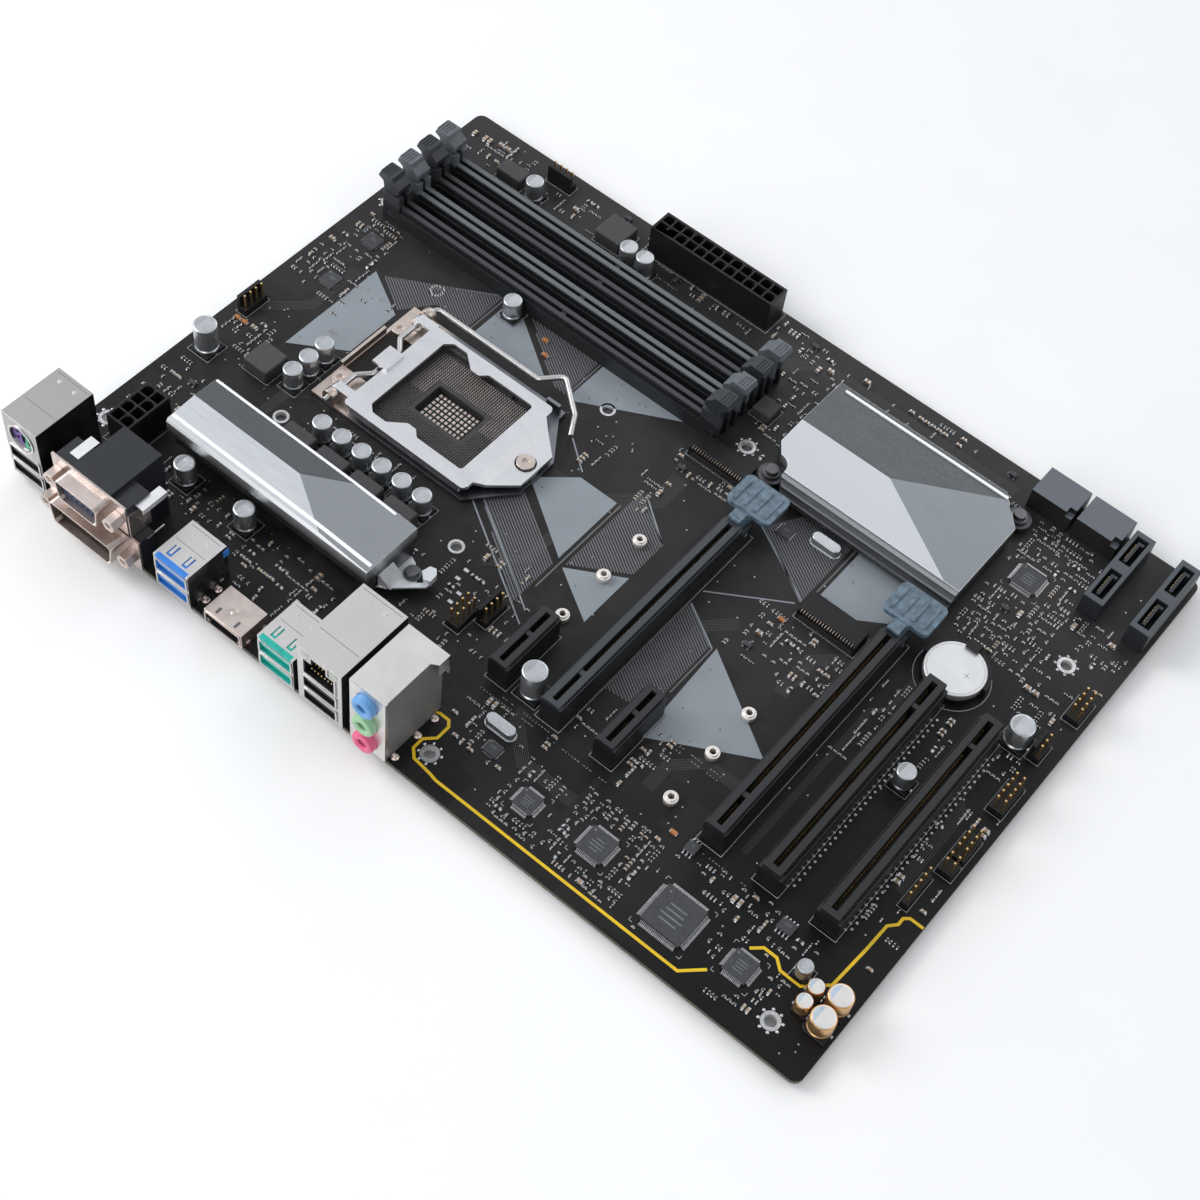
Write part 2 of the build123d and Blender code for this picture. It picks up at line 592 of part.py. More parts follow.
# ======== Pin headers: x, y, columns, rows, and whether the header has a wall ========
HEADER_PITCH = 2.54
FAN_HEADERS = [(44.0, 214.6, 4, 1), (6.6, 98.4, 1, 4), (146.0, 59.0, 1, 4), (299.0, 132.6, 1, 3)]
PIN_HEADERS = [(299.6, 112.0, 2, 5), (299.6, 90.0, 2, 4), (299.6, 81.2, 2, 2), (300.0, 153.0, 2, 4), (139.6, 52.0, 2, 4), (296.4, 69.0, 1, 5)]
with BuildPart() as pin_headers:
    for x, y, columns, rows in FAN_HEADERS + PIN_HEADERS:
        wide = HEADER_PITCH * columns
        deep = HEADER_PITCH * rows
        block(x - wide / 2, x + wide / 2, y - deep / 2, y + deep / 2, 0.0, 2.5)
    for x, y, columns, rows in FAN_HEADERS:
        if rows == 1:
            half = HEADER_PITCH * columns / 2
            block(x - half, x + half, y - 2.6, y - 1.2, 0.0, 7.2)
        else:
            half = HEADER_PITCH * rows / 2
            block(x - 2.6, x - 1.2, y - half, y + half, 0.0, 7.2)
pin_headers.part.label = "pin_headers"
export_step(pin_headers.part, "parts/pin_headers.step")

# ======== Terminals of the power connectors and header pins ========
PIN_SIDE = 0.64
with BuildPart() as terminal_pins:
    for x, y, columns, rows in FAN_HEADERS + PIN_HEADERS:
        with Locations(above(x, y, 5.3)):
            with GridLocations(HEADER_PITCH, HEADER_PITCH, columns, rows):
                Box(PIN_SIDE, PIN_SIDE, 5.6)
    for x, y, columns, rows in (MAIN_POWER, CPU_POWER):
        with Locations(above(x, y, 5.4)):
            with GridLocations(POWER_PITCH, POWER_PITCH, columns, rows):
                Box(1.0, 1.0, 7.0)
terminal_pins.part.label = "terminal_pins"
export_step(terminal_pins.part, "parts/terminal_pins.step")


# ======== Expansion slots ========
def express_slot(x, length, key_offset):
    """A card-edge socket with its groove open along the top and a key across it."""
    half = EXPRESS_WIDTH / 2
    groove = EXPRESS_GROOVE / 2
    block(x - half, x + half, SLOT_REAR_Y, SLOT_REAR_Y + length, 0.0, SLOT_HEIGHT - 1.2)
    block(x - half + 0.7, x + half - 0.7, SLOT_REAR_Y, SLOT_REAR_Y + length, 0.0, SLOT_HEIGHT)
    low, high = SLOT_REAR_Y + 1.6, SLOT_REAR_Y + length - 1.6
    block(x - groove, x + groove, low, high, 3.0, SLOT_HEIGHT + 1, mode=Mode.SUBTRACT)
    key = SLOT_REAR_Y + key_offset
    block(x - groove, x + groove, key - 0.9, key + 0.9, 3.0, SLOT_HEIGHT - 0.6)


def retainer_cheeks(x):
    """Two cheeks at the front end carry the card retainer's pins."""
    start = SLOT_REAR_Y + EXPRESS_LONG
    for side in (-1, 1):
        inner, outer = sorted((x + side * 2.5, x + side * EXPRESS_WIDTH / 2))
        block(inner, outer, start - 0.5, start + 5.6, 0.0, 6.8)
    block(x - EXPRESS_WIDTH / 2, x + EXPRESS_WIDTH / 2, start - 0.5, start + 5.6, 0.0, 0.9)
    rod_along(x, RETAINER_Y, RETAINER_Z, EXPRESS_WIDTH + 1, RETAINER_PIN_R + BORE_CLEARANCE, mode=Mode.SUBTRACT)


LONG_SLOTS = [("graphics_slot", GRAPHICS_X), ("expansion_slot", SECOND_LONG_X)]
for name, x in LONG_SLOTS:
    with BuildPart() as long_slot:
        express_slot(x, EXPRESS_LONG, 14.5)
        retainer_cheeks(x)
    long_slot.part.label = name
    export_step(long_slot.part, f"parts/{name}.step")

    # Card retainer: a hook over the groove's end and a wide pad that is pressed down.
    with BuildPart() as card_retainer:
        with BuildSketch(facing_side(x - 2.2, 0)):
            with Locations((RETAINER_Y, RETAINER_Z)):
                Circle(2.2)
            with BuildLine():
                Polyline(
                    (RETAINER_Y - 2.2, RETAINER_Z),
                    (RETAINER_Y - 2.2, 11.2),
                    (RETAINER_Y - 3.6, 11.8),
                    (RETAINER_Y - 3.6, 13.0),
                    (RETAINER_Y + 0.4, 13.0),
                    (RETAINER_Y + 3.4, 9.4),
                    (RETAINER_Y + 5.0, 9.2),
                    (RETAINER_Y + 5.0, 7.4),
                    (RETAINER_Y + 2.2, RETAINER_Z),
                    close=True,
                )
            make_face()
        extrude(amount=4.4)
        pad_y = RETAINER_Y + 10.4
        with BuildSketch(above(x, pad_y, 7.6)):
            RectangleRounded(17.0, 13.4, 2.2)
        extrude(amount=1.8)
        # Ribs under and over the pad.
        for rib in (-6.0, -2.0, 2.0, 6.0):
            block(x + rib - 0.5, x + rib + 0.5, pad_y - 5.0, pad_y + 4.6, 9.2, 10.0)
        block(x - 7.6, x + 7.6, pad_y - 1.0, pad_y + 1.0, 6.4, 7.8)
        rod_along(x, RETAINER_Y, RETAINER_Z, EXPRESS_WIDTH - 0.1, RETAINER_PIN_R)
    card_retainer.part.label = f"{name}_retainer"
    export_step(card_retainer.part, f"parts/{name}_retainer.step")

with BuildPart() as x1_slots:
    for x in SHORT_SLOT_XS:
        express_slot(x, EXPRESS_SHORT, 14.5)
x1_slots.part.label = "x1_slots"
export_step(x1_slots.part, "parts/x1_slots.step")

PCI_KEY_Y = 114.0
with BuildPart() as pci_slots:
    for x in PCI_XS:
        half = PCI_WIDTH / 2
        block(x - half, x + half, SLOT_REAR_Y, SLOT_REAR_Y + PCI_LENGTH, 0.0, 8.6)
        block(x - half + 1.0, x + half - 1.0, SLOT_REAR_Y, SLOT_REAR_Y + PCI_LENGTH, 0.0, SLOT_HEIGHT)
        block(x - 1.0, x + 1.0, SLOT_REAR_Y + 2, SLOT_REAR_Y + PCI_LENGTH - 2, 3.0, 13, mode=Mode.SUBTRACT)
        block(x - 1.0, x + 1.0, PCI_KEY_Y - 0.9, PCI_KEY_Y + 0.9, 3.0, SLOT_HEIGHT - 0.6)
pci_slots.part.label = "pci_slots"
export_step(pci_slots.part, "parts/pci_slots.step")

# ======== Solid-state drive connectors and the standoffs their cards screw to ========
with BuildPart() as m2_connectors:
    for x, card_y, _ in M2_SLOTS:
        low = card_y - 3.2
        block(x - M2_WIDTH / 2, x + M2_WIDTH / 2, low, low + M2_DEPTH, 0.0, M2_HEIGHT)
        block(x - 10, x + 10, low - 1, low + 5.4, 1.9, 3.0, mode=Mode.SUBTRACT)
        block(x - 10, x + 10, low - 1, low + 1.4, 3.0, 5.0, mode=Mode.SUBTRACT)
        block(x + 5.0, x + 6.2, low + 1.4, low + 5.4, 1.8, 3.1)
m2_connectors.part.label = "m2_connectors"
export_step(m2_connectors.part, "parts/m2_connectors.step")

with BuildPart() as m2_standoffs:
    for x, card_y, lengths in M2_SLOTS:
        for length in lengths:
            post(x, card_y - length, 0.0, STANDOFF_HEIGHT - 0.6, STANDOFF_R)
            post(x, card_y - length, 0.0, STANDOFF_HEIGHT, 1.7)
            post(x, card_y - length, -1, STANDOFF_HEIGHT + 1, STANDOFF_BORE, mode=Mode.SUBTRACT)
m2_standoffs.part.label = "m2_standoffs"
export_step(m2_standoffs.part, "parts/m2_standoffs.step")

# ======== Drive data ports: upright pairs along the slot end, flat ones on the front edge ========
UPRIGHT_XS = [(279.4, 286.4), (296.2, 303.4)]
UPRIGHT_YS = [193.0, 193.0 + PORT_PITCH]
FLAT_XS = [253.0, 270.0]
TONGUE, TONGUE_THICK = 10.0, 1.2
with BuildPart() as sata_ports:
    for low_x, high_x in UPRIGHT_XS:
        x = (low_x + high_x) / 2
        block(low_x, high_x, UPRIGHT_YS[0] - 8.3, UPRIGHT_YS[1] + 8.3, 0.0, 9.4)
        for y in UPRIGHT_YS:
            with place(x, y, 6.4):
                Box(4.2, 12.6, 7.0, mode=Mode.SUBTRACT)
            block(x - 0.9, x - 0.9 + TONGUE_THICK, y - TONGUE / 2, y + TONGUE / 2, 2.5, 8.8)
            block(x - 0.9, x + 1.5, y + TONGUE / 2 - TONGUE_THICK, y + TONGUE / 2, 2.5, 8.8)
    for x in FLAT_XS:
        block(x - 7.8, x + 7.8, 208.6, BOARD_DEPTH, 0.0, 8.8)
        with Locations(facing_rear(x, 217.4, 4.6)):
            Box(12.6, 4.2, 8.0, mode=Mode.SUBTRACT)
        block(x - TONGUE / 2, x + TONGUE / 2, 213.0, BOARD_DEPTH - 0.5, 4.8, 6.0)
        block(x - TONGUE / 2, x - TONGUE / 2 + TONGUE_THICK, 213.0, BOARD_DEPTH - 0.5, 3.6, 6.0)
        block(x + 5.4, x + 7.9, 208.5, 211.2, 6.6, 9.5, mode=Mode.SUBTRACT)
sata_ports.part.label = "sata_ports"
export_step(sata_ports.part, "parts/sata_ports.step")


# ======== Rear connectors ========
def usb_openings(x, heights, depth=12.0):
    """Cuts the mouths of stacked ports into a shell."""
    for z in heights:
        with Locations(facing_rear(x, PORT_FACE + depth / 2 - 1, z)):
            Box(USB_WIDTH, USB_OPENING, depth + 2, mode=Mode.SUBTRACT)


def usb_tongues(x, heights, length=9.0):
    """The contact tongue in each mouth, low in the opening."""
    for z in heights:
        block(x - 5.6, x + 5.6, PORT_FACE + 1.6, PORT_FACE + 1.6 + length + 1.4, z + 0.1, z + 2.0)


# Keyboard and mouse port over two data ports
KEYBOARD_X, KEYBOARD_HALF = 8.2, 7.5
KEYBOARD_HEIGHT, KEYBOARD_BACK = 29.0, 22.4
ROUND_PORT_Z, ROUND_PORT_R = 21.6, 4.7
KEYBOARD_USB = (4.6, 11.8)
with BuildPart() as keyboard_port_shell:
    block(KEYBOARD_X - KEYBOARD_HALF, KEYBOARD_X + KEYBOARD_HALF, PORT_FACE, KEYBOARD_BACK, 0.0, KEYBOARD_HEIGHT)
    usb_openings(KEYBOARD_X, KEYBOARD_USB)
    rod_across(KEYBOARD_X, PORT_FACE + 4, ROUND_PORT_Z, 10.0, ROUND_PORT_R, mode=Mode.SUBTRACT)
keyboard_port_shell.part.label = "keyboard_port_shell"
export_step(keyboard_port_shell.part, "parts/keyboard_port_shell.step")

with BuildPart() as keyboard_port_inserts:
    rod_across(KEYBOARD_X, PORT_FACE + 4.9, ROUND_PORT_Z, 8.2, ROUND_PORT_R - 0.1)
    with Locations(facing_rear(KEYBOARD_X, PORT_FACE + 1.6, ROUND_PORT_Z)):
        with PolarLocations(2.4, 6, start_angle=30):
            Cylinder(0.6, 6, mode=Mode.SUBTRACT)
        Box(1.8, 1.6, 6, mode=Mode.SUBTRACT)
    usb_tongues(KEYBOARD_X, KEYBOARD_USB)
keyboard_port_inserts.part.label = "keyboard_port_inserts"
export_step(keyboard_port_inserts.part, "parts/keyboard_port_inserts.step")

# Two video ports, one above the other
VIDEO_X = 38.2
UPPER_VIDEO_Z, LOWER_VIDEO_Z = 22.0, 7.4
UPPER_SCREW, LOWER_SCREW = 12.5, 16.6
VIDEO_TOP = 28.6
with BuildPart() as video_housing:
    block(31.2, 47.2, PORT_FACE + 0.4, 20.4, 0.0, VIDEO_TOP)
    block(VIDEO_X - 15.2, VIDEO_X + 15.2, PORT_FACE + 0.4, 9.0, 0.0, 27.0)
    block(VIDEO_X - 18.8, VIDEO_X + 18.8, PORT_FACE + 0.4, 6.0, 0.0, 13.4)
video_housing.part.label = "video_housing"
export_step(video_housing.part, "parts/video_housing.step")


def trapezium_shell(z, top, bottom, height, reach):
    """A tapered metal shell that sticks out to the rear, round a recessed contact face."""
    y = PORT_FACE - 0.4
    with BuildSketch(facing_rear(VIDEO_X, y, z)) as outline:
        with BuildLine():
            Polyline(
                (-bottom / 2, -height / 2),
                (bottom / 2, -height / 2),
                (top / 2, height / 2),
                (-top / 2, height / 2),
                close=True,
            )
        make_face()
        fillet(outline.vertices(), 1.6)
    extrude(outline.sketch, amount=reach)
    with BuildSketch(facing_rear(VIDEO_X, y - 1.0, z)) as mouth:
        add(offset(outline.sketch_local, amount=-0.55, mode=Mode.PRIVATE))
    extrude(mouth.sketch, amount=reach, mode=Mode.SUBTRACT)


with BuildPart() as video_port_shells:
    for z, half, high in ((UPPER_VIDEO_Z, 15.5, 12.6), (LOWER_VIDEO_Z, 19.4, 13.8)):
        block(VIDEO_X - half, VIDEO_X + half, PORT_FACE - 0.4, PORT_FACE + 0.4, z - high / 2, z + high / 2)
    trapezium_shell(UPPER_VIDEO_Z, 18.0, 16.0, 8.8, 5.4)
    trapezium_shell(LOWER_VIDEO_Z, 27.0, 24.6, 9.8, REAR_OVERHANG + PORT_FACE - 0.4)
    for z, pitch in ((UPPER_VIDEO_Z, UPPER_SCREW), (LOWER_VIDEO_Z, LOWER_SCREW)):
        for side in (-1, 1):
            rod_across(VIDEO_X + side * pitch, PORT_FACE, z, 3.0, 1.5, mode=Mode.SUBTRACT)
    # Side brackets grip the housing.
    for side in (-1, 1):
        inner, outer = sorted((VIDEO_X + side * 15.2, VIDEO_X + side * 15.7))
        block(inner, outer, PORT_FACE + 0.4, 8.0, 13.6, 24.0)
video_port_shells.part.label = "video_port_shells"
export_step(video_port_shells.part, "parts/video_port_shells.step")

with BuildPart() as video_jackscrews:
    for z, pitch in ((UPPER_VIDEO_Z, UPPER_SCREW), (LOWER_VIDEO_Z, LOWER_SCREW)):
        for side in (-1, 1):
            with BuildSketch(facing_rear(VIDEO_X + side * pitch, PORT_FACE - 0.4, z)):
                RegularPolygon(2.7, 6)
                Circle(1.2, mode=Mode.SUBTRACT)
            extrude(amount=4.6)
video_jackscrews.part.label = "video_jackscrews"
export_step(video_jackscrews.part, "parts/video_jackscrews.step")

# Two stacked data port pairs
STACK_HEIGHTS = (4.3, 11.5)
STACKS = [("usb_blue", 70.6), ("usb_teal", 113.2)]
for name, x in STACKS:
    with BuildPart() as usb_shell:
        block(x - 7.1, x + 7.1, PORT_FACE, 15.6, 0.0, 15.8)
        usb_openings(x, STACK_HEIGHTS)
        # Contact springs punched into the top.
        for side in (-1, 1):
            block(x + side * 3.2 - 1.0, x + side * 3.2 + 1.0, 1.6, 6.0, 15.5, 17, mode=Mode.SUBTRACT)
    usb_shell.part.label = f"{name}_shell"
    export_step(usb_shell.part, f"parts/{name}_shell.step")

    with BuildPart() as usb_insert:
        usb_tongues(x, STACK_HEIGHTS)
    usb_insert.part.label = f"{name}_tongues"
    export_step(usb_insert.part, f"parts/{name}_tongues.step")

# Digital video port
HDMI_X, HDMI_Z = 91.3, 3.4
with BuildPart() as hdmi_port:
    block(HDMI_X - 7.7, HDMI_X + 7.7, PORT_FACE, 10.6, 0.0, 6.6)
    with BuildSketch(facing_rear(HDMI_X, 7.4, HDMI_Z)):
        with BuildLine():
            Polyline((-7.0, 2.3), (7.0, 2.3), (7.0, -0.4), (5.0, -2.3), (-5.0, -2.3), (-7.0, -0.4), close=True)
        make_face()
    extrude(amount=9.0, mode=Mode.SUBTRACT)
    block(HDMI_X - 5.6, HDMI_X + 5.6, PORT_FACE + 2.0, 7.6, HDMI_Z - 0.2, HDMI_Z + 0.8)
hdmi_port.part.label = "hdmi_port"
export_step(hdmi_port.part, "parts/hdmi_port.step")

# Network port over two data ports
LAN_X, LAN_BACK, LAN_HEIGHT = 130.9, 27.2, 28.2
LAN_USB = (4.3, 11.5)
with BuildPart() as lan_port_shell:
    block(LAN_X - 8.7, LAN_X + 8.7, PORT_FACE, LAN_BACK, 0.0, LAN_HEIGHT)
    usb_openings(LAN_X, LAN_USB)
    block(LAN_X - 6.0, LAN_X + 6.0, PORT_FACE - 1, 12.6, 16.2, 23.4, mode=Mode.SUBTRACT)
    block(LAN_X - 3.0, LAN_X + 3.0, PORT_FACE - 1, 12.6, 23.0, 26.4, mode=Mode.SUBTRACT)
    usb_tongues(LAN_X, LAN_USB)
lan_port_shell.part.label = "lan_port_shell"
export_step(lan_port_shell.part, "parts/lan_port_shell.step")

# Three audio jacks in one tall housing
AUDIO_X, AUDIO_BACK, AUDIO_HEIGHT = 149.3, 23.8, 31.0
JACK_HEIGHTS = (5.8, 15.4, 25.0)
JACK_R, JACK_BORE_R = 3.9, 1.75
with BuildPart() as audio_housing:
    block(AUDIO_X - 6.7, AUDIO_X + 6.7, PORT_FACE + 0.4, AUDIO_BACK, 0.0, AUDIO_HEIGHT)
    for z in JACK_HEIGHTS:
        rod_across(AUDIO_X, PORT_FACE + 6, z, 14.0, JACK_R + 0.02, mode=Mode.SUBTRACT)
audio_housing.part.label = "audio_housing"
export_step(audio_housing.part, "parts/audio_housing.step")

with BuildPart() as audio_jacks:
    for z in JACK_HEIGHTS:
        rod_across(AUDIO_X, PORT_FACE + 5.4, z, 14.6, JACK_R)
        rod_across(AUDIO_X, PORT_FACE + 3.0, z, 14.0, JACK_BORE_R, mode=Mode.SUBTRACT)
audio_jacks.part.label = "audio_jacks"
export_step(audio_jacks.part, "parts/audio_jacks.step")

# ======== Can capacitors: x, y, radius, height ========
POLYMER_CAPS = [
    *[(61.5 + 8.46 * n, 73.4, 3.3, 8.6) for n in range(6)],
    *[(39.6, 82.8 + 7.4 * n, 3.3, 8.6) for n in range(3)],
    (8.3, 75.0, 4.1, 11.6),
    (42.4, 32.2, 3.6, 9.4),
    (68.0, 32.2, 3.6, 9.4),
    (172.4, 46.4, 4.1, 12.0),
    (291.0, 131.2, 4.1, 9.6),
    (273.4, 95.6, 3.2, 8.0),
    (71.4, 154.8, 3.3, 8.0),
    (41.3, 201.8, 3.3, 8.6),
    (85.0, 200.0, 3.3, 9.4),
    (92.0, 200.0, 3.3, 9.4),
    (286.8, 27.2, 2.5, 5.6),
]
AUDIO_CAPS = [(299.6, 25.6, 3.9, 7.6), (299.6, 17.4, 3.9, 7.6), (292.6, 24.2, 2.6, 5.8), (292.6, 18.6, 2.6, 5.8)]


def can(x, y, radius, height):
    """A rolled can on a square base, with the groove crimped near its foot."""
    block(x - radius, x + radius, y - radius, y + radius, 0.0, 1.0)
    post(x, y, 1.0, height, radius)
    with place(x, y, 2.2):
        Torus(radius + 0.15, 0.45, mode=Mode.SUBTRACT)


with BuildPart() as polymer_capacitors:
    for x, y, radius, height in POLYMER_CAPS:
        can(x, y, radius, height)
    fillet(polymer_capacitors.edges().filter_by(GeomType.CIRCLE).filter_by(lambda e: e.center().Z > BOARD_TOP + 5), 0.4)
polymer_capacitors.part.label = "polymer_capacitors"
export_step(polymer_capacitors.part, "parts/polymer_capacitors.step")

with BuildPart() as audio_capacitors:
    for x, y, radius, height in AUDIO_CAPS:
        can(x, y, radius, height)
    fillet(audio_capacitors.edges().filter_by(GeomType.CIRCLE).filter_by(lambda e: e.center().Z > BOARD_TOP + 5), 0.4)
audio_capacitors.part.label = "audio_capacitors"
export_step(audio_capacitors.part, "parts/audio_capacitors.step")

# ======== Moulded chokes: x, y, length, depth, height ========
CHOKES = [
    *[(58.6 + 14.2 * n, 64.8, 11.4, 7.4, 6.8) for n in range(4)],
    (27.8, 82.4, 10.4, 10.4, 5.0),
    (74.4, 207.0, 11.0, 11.0, 5.0),
    (29.8, 204.0, 11.0, 6.4, 4.4),
    (159.8, 180.8, 7.4, 7.4, 3.6),
]
with BuildPart() as chokes:
    for x, y, wide, deep, high in CHOKES:
        with BuildSketch(above(x, y)) as footprint:
            RectangleRounded(wide, deep, 0.8)
        extrude(amount=high)
    chamfer(chokes.faces().filter_by(Axis.Z).filter_by(lambda f: f.center().Z > BOARD_TOP + 1).edges(), 0.4)
chokes.part.label = "chokes"
export_step(chokes.part, "parts/chokes.step")

# ======== Packaged chips: x, y, length, depth, height ========
CHIPS = [
    (249.2, 16.8, 14.0, 14.0, 1.5),
    (219.2, 19.6, 9.2, 9.2, 1.1),
    (272.6, 17.2, 8.0, 8.0, 1.1),
    (195.4, 17.0, 7.0, 7.0, 1.0),
    (176.6, 23.4, 5.0, 4.4, 1.0),
    (275.2, 35.4, 5.2, 4.0, 1.5),
    (17.0, 124.4, 6.0, 6.0, 0.9),
    (15.0, 147.2, 6.0, 6.0, 0.9),
    (262.0, 184.0, 9.0, 9.0, 1.1),
    (240.0, 37.2, 4.0, 4.0, 1.2),
    (193.6, 146.0, 5.0, 5.0, 0.9),
]
with BuildPart() as controller_chips:
    for x, y, wide, deep, high in CHIPS:
        block(x - wide / 2, x + wide / 2, y - deep / 2, y + deep / 2, 0.0, high)
    chamfer(controller_chips.faces().filter_by(Axis.Z).filter_by(lambda f: f.center().Z > BOARD_TOP + 0.5).edges(), 0.15)
controller_chips.part.label = "controller_chips"
export_step(controller_chips.part, "parts/controller_chips.step")

# ======== Quartz crystals ========
with BuildPart() as crystals:
    for x, y in ((173.8, 30.2), (206.6, 149.6)):
        with BuildSketch(above(x, y)):
            SlotOverall(11.4, 4.6)
        extrude(amount=0.5)
        with BuildSketch(above(x, y, 0.5)):
            SlotOverall(10.6, 3.9)
        extrude(amount=3.0)
    fillet(crystals.faces().filter_by(Axis.Z).sort_by(Axis.Z)[-2:].edges(), 0.5)
crystals.part.label = "crystals"
export_step(crystals.part, "parts/crystals.step")

# ======== Clock battery and its holder ========
CELL_X, CELL_Y, CELL_R = 263.9, 137.2, 10.0
with BuildPart() as coin_cell:
    post(CELL_X, CELL_Y, 1.6, 2.4, CELL_R - 1.2)
    post(CELL_X, CELL_Y, 2.4, 4.8, CELL_R)
    fillet(coin_cell.edges().filter_by(GeomType.CIRCLE).sort_by(Axis.Z)[-1], 0.4)
coin_cell.part.label = "coin_cell"
export_step(coin_cell.part, "parts/coin_cell.step")

with BuildPart() as battery_holder:
    post(CELL_X, CELL_Y, 0.0, 1.6, CELL_R - 0.4)
    with BuildSketch(above(CELL_X, CELL_Y)):
        Circle(CELL_R + 1.4)
        Circle(CELL_R + 0.1, mode=Mode.SUBTRACT)
        with Locations((0, -6)):
            Rectangle(2 * CELL_R + 4, 11.6, mode=Mode.SUBTRACT)
    extrude(amount=4.2)
    block(CELL_X - CELL_R - 1.4, CELL_X + CELL_R + 1.4, CELL_Y - 0.2, CELL_Y + 2.0, 0.0, 1.2)
    # Sprung finger that hooks over the cell's front edge.
    block(CELL_X - 2.2, CELL_X + 2.2, CELL_Y + CELL_R + 1.0, CELL_Y + CELL_R + 2.0, 0.0, 6.0)
    block(CELL_X - 2.2, CELL_X + 2.2, CELL_Y + CELL_R - 1.4, CELL_Y + CELL_R + 2.0, 5.0, 6.0)
battery_holder.part.label = "battery_holder"
export_step(battery_holder.part, "parts/battery_holder.step")

# ======== Soldered locating tails under the larger connectors: x, y ========
TAILS = [
    *[(x, y) for x in (2.4, 14.0) for y in (4.0, 18.0)],
    *[(x, y) for x in (22.0, 54.4) for y in (3.0,)],
    *[(x, y) for x in (65.0, 76.2, 107.6, 118.8) for y in (3.0,)],
    *[(x, 20.0) for x in (124.0, 137.8, 144.6, 154.0)],
    *[(MEMORY_X + side * 60, MEMORY_FIRST_Y + MEMORY_PITCH * n) for side in (-1, 1) for n in (0, 3)],
    (90.0, 214.4),
    (134.0, 214.4),
    *[(x, y) for x in (GRAPHICS_X, SECOND_LONG_X, *PCI_XS) for y in (45.0, 122.0)],
    *[(sum(pair) / 2, y) for pair in UPRIGHT_XS for y in (188.0, 214.0)],
    *[(x, 212.0) for x in FLAT_XS],
    (300.0, 22.0),
]
with BuildPart() as solder_tails:
    for x, y in TAILS:
        post(x, y, TAIL_END + 0.9, UNDERSIDE, 1.25)
        post(x, y, TAIL_END, UNDERSIDE, 0.8)
solder_tails.part.label = "solder_tails"
export_step(solder_tails.part, "parts/solder_tails.step")
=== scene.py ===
import math
import random

import bmesh
import bpy
from mathutils import Matrix, Vector


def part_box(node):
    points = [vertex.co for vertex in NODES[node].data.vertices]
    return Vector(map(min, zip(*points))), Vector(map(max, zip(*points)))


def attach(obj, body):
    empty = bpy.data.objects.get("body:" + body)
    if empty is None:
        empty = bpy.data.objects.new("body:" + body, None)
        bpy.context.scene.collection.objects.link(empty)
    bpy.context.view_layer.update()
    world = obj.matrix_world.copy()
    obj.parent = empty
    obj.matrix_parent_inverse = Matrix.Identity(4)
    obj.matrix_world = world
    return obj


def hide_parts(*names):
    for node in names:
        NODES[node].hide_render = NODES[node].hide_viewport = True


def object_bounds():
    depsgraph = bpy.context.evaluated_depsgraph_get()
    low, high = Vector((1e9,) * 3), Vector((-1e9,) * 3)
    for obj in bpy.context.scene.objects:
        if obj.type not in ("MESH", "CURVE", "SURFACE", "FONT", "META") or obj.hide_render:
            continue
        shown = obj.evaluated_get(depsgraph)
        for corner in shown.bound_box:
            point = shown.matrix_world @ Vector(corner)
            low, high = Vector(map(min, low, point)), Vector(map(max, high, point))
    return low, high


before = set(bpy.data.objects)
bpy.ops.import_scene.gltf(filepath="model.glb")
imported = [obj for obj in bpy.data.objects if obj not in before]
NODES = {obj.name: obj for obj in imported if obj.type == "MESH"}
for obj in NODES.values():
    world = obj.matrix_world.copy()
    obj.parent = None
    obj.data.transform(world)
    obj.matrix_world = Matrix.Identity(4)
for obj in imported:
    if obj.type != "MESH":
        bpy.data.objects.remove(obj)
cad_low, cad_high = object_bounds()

# A computer motherboard. Places on the board are in millimetres from the corner where the
# processor end meets the rear (connector) edge: x runs along the length, y from the rear edge to
# the front edge, and z is the height over the board's top face. A piece's mesh is in metres.
MM = 0.001
BOARD_LOW, BOARD_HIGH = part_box("circuit_board")
BOARD_LENGTH = (BOARD_HIGH.x - BOARD_LOW.x) / MM
BOARD_DEPTH = (BOARD_HIGH.y - BOARD_LOW.y) / MM
UNDERSIDE = (BOARD_LOW.z - BOARD_HIGH.z) / MM
INK = 0.03  # thickness of printed ink and copper over the solder mask

random.seed(11)


def row_x(x):
    return BOARD_LOW.x + x * MM


def row_y(y):
    return BOARD_LOW.y + y * MM


def row_z(z):
    return BOARD_HIGH.z + z * MM


def to_row(point):
    """A board point in millimetres as a point of the row frame in metres."""
    x, y, z = point
    return row_x(x), row_y(y), row_z(z)


def to_board(point):
    return (point[0] - BOARD_LOW.x) / MM, (point[1] - BOARD_LOW.y) / MM, (point[2] - BOARD_HIGH.z) / MM


def extent(node):
    """(x0, x1, y0, y1, z0, z1) of a CAD node in board millimetres."""
    low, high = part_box(node)
    (x0, y0, z0), (x1, y1, z1) = to_board(low), to_board(high)
    return x0, x1, y0, y1, z0, z1


def solids(node):
    """The same for each separate solid of a node, from rear to front."""
    work = bmesh.new()
    work.from_mesh(NODES[node].data)
    bmesh.ops.remove_doubles(work, verts=work.verts, dist=1e-6)
    found, seen = [], set()
    for start in work.verts:
        if start.index in seen:
            continue
        seen.add(start.index)
        queue, island = [start], []
        while queue:
            vertex = queue.pop()
            island.append(to_board(vertex.co))
            for edge in vertex.link_edges:
                other = edge.other_vert(vertex)
                if other.index not in seen:
                    seen.add(other.index)
                    queue.append(other)
        box = []
        for values in zip(*island):
            box += [min(values), max(values)]
        found.append(tuple(box))
    work.free()
    return sorted(found, key=lambda box: (round(box[2], 1), round(box[0], 1)))


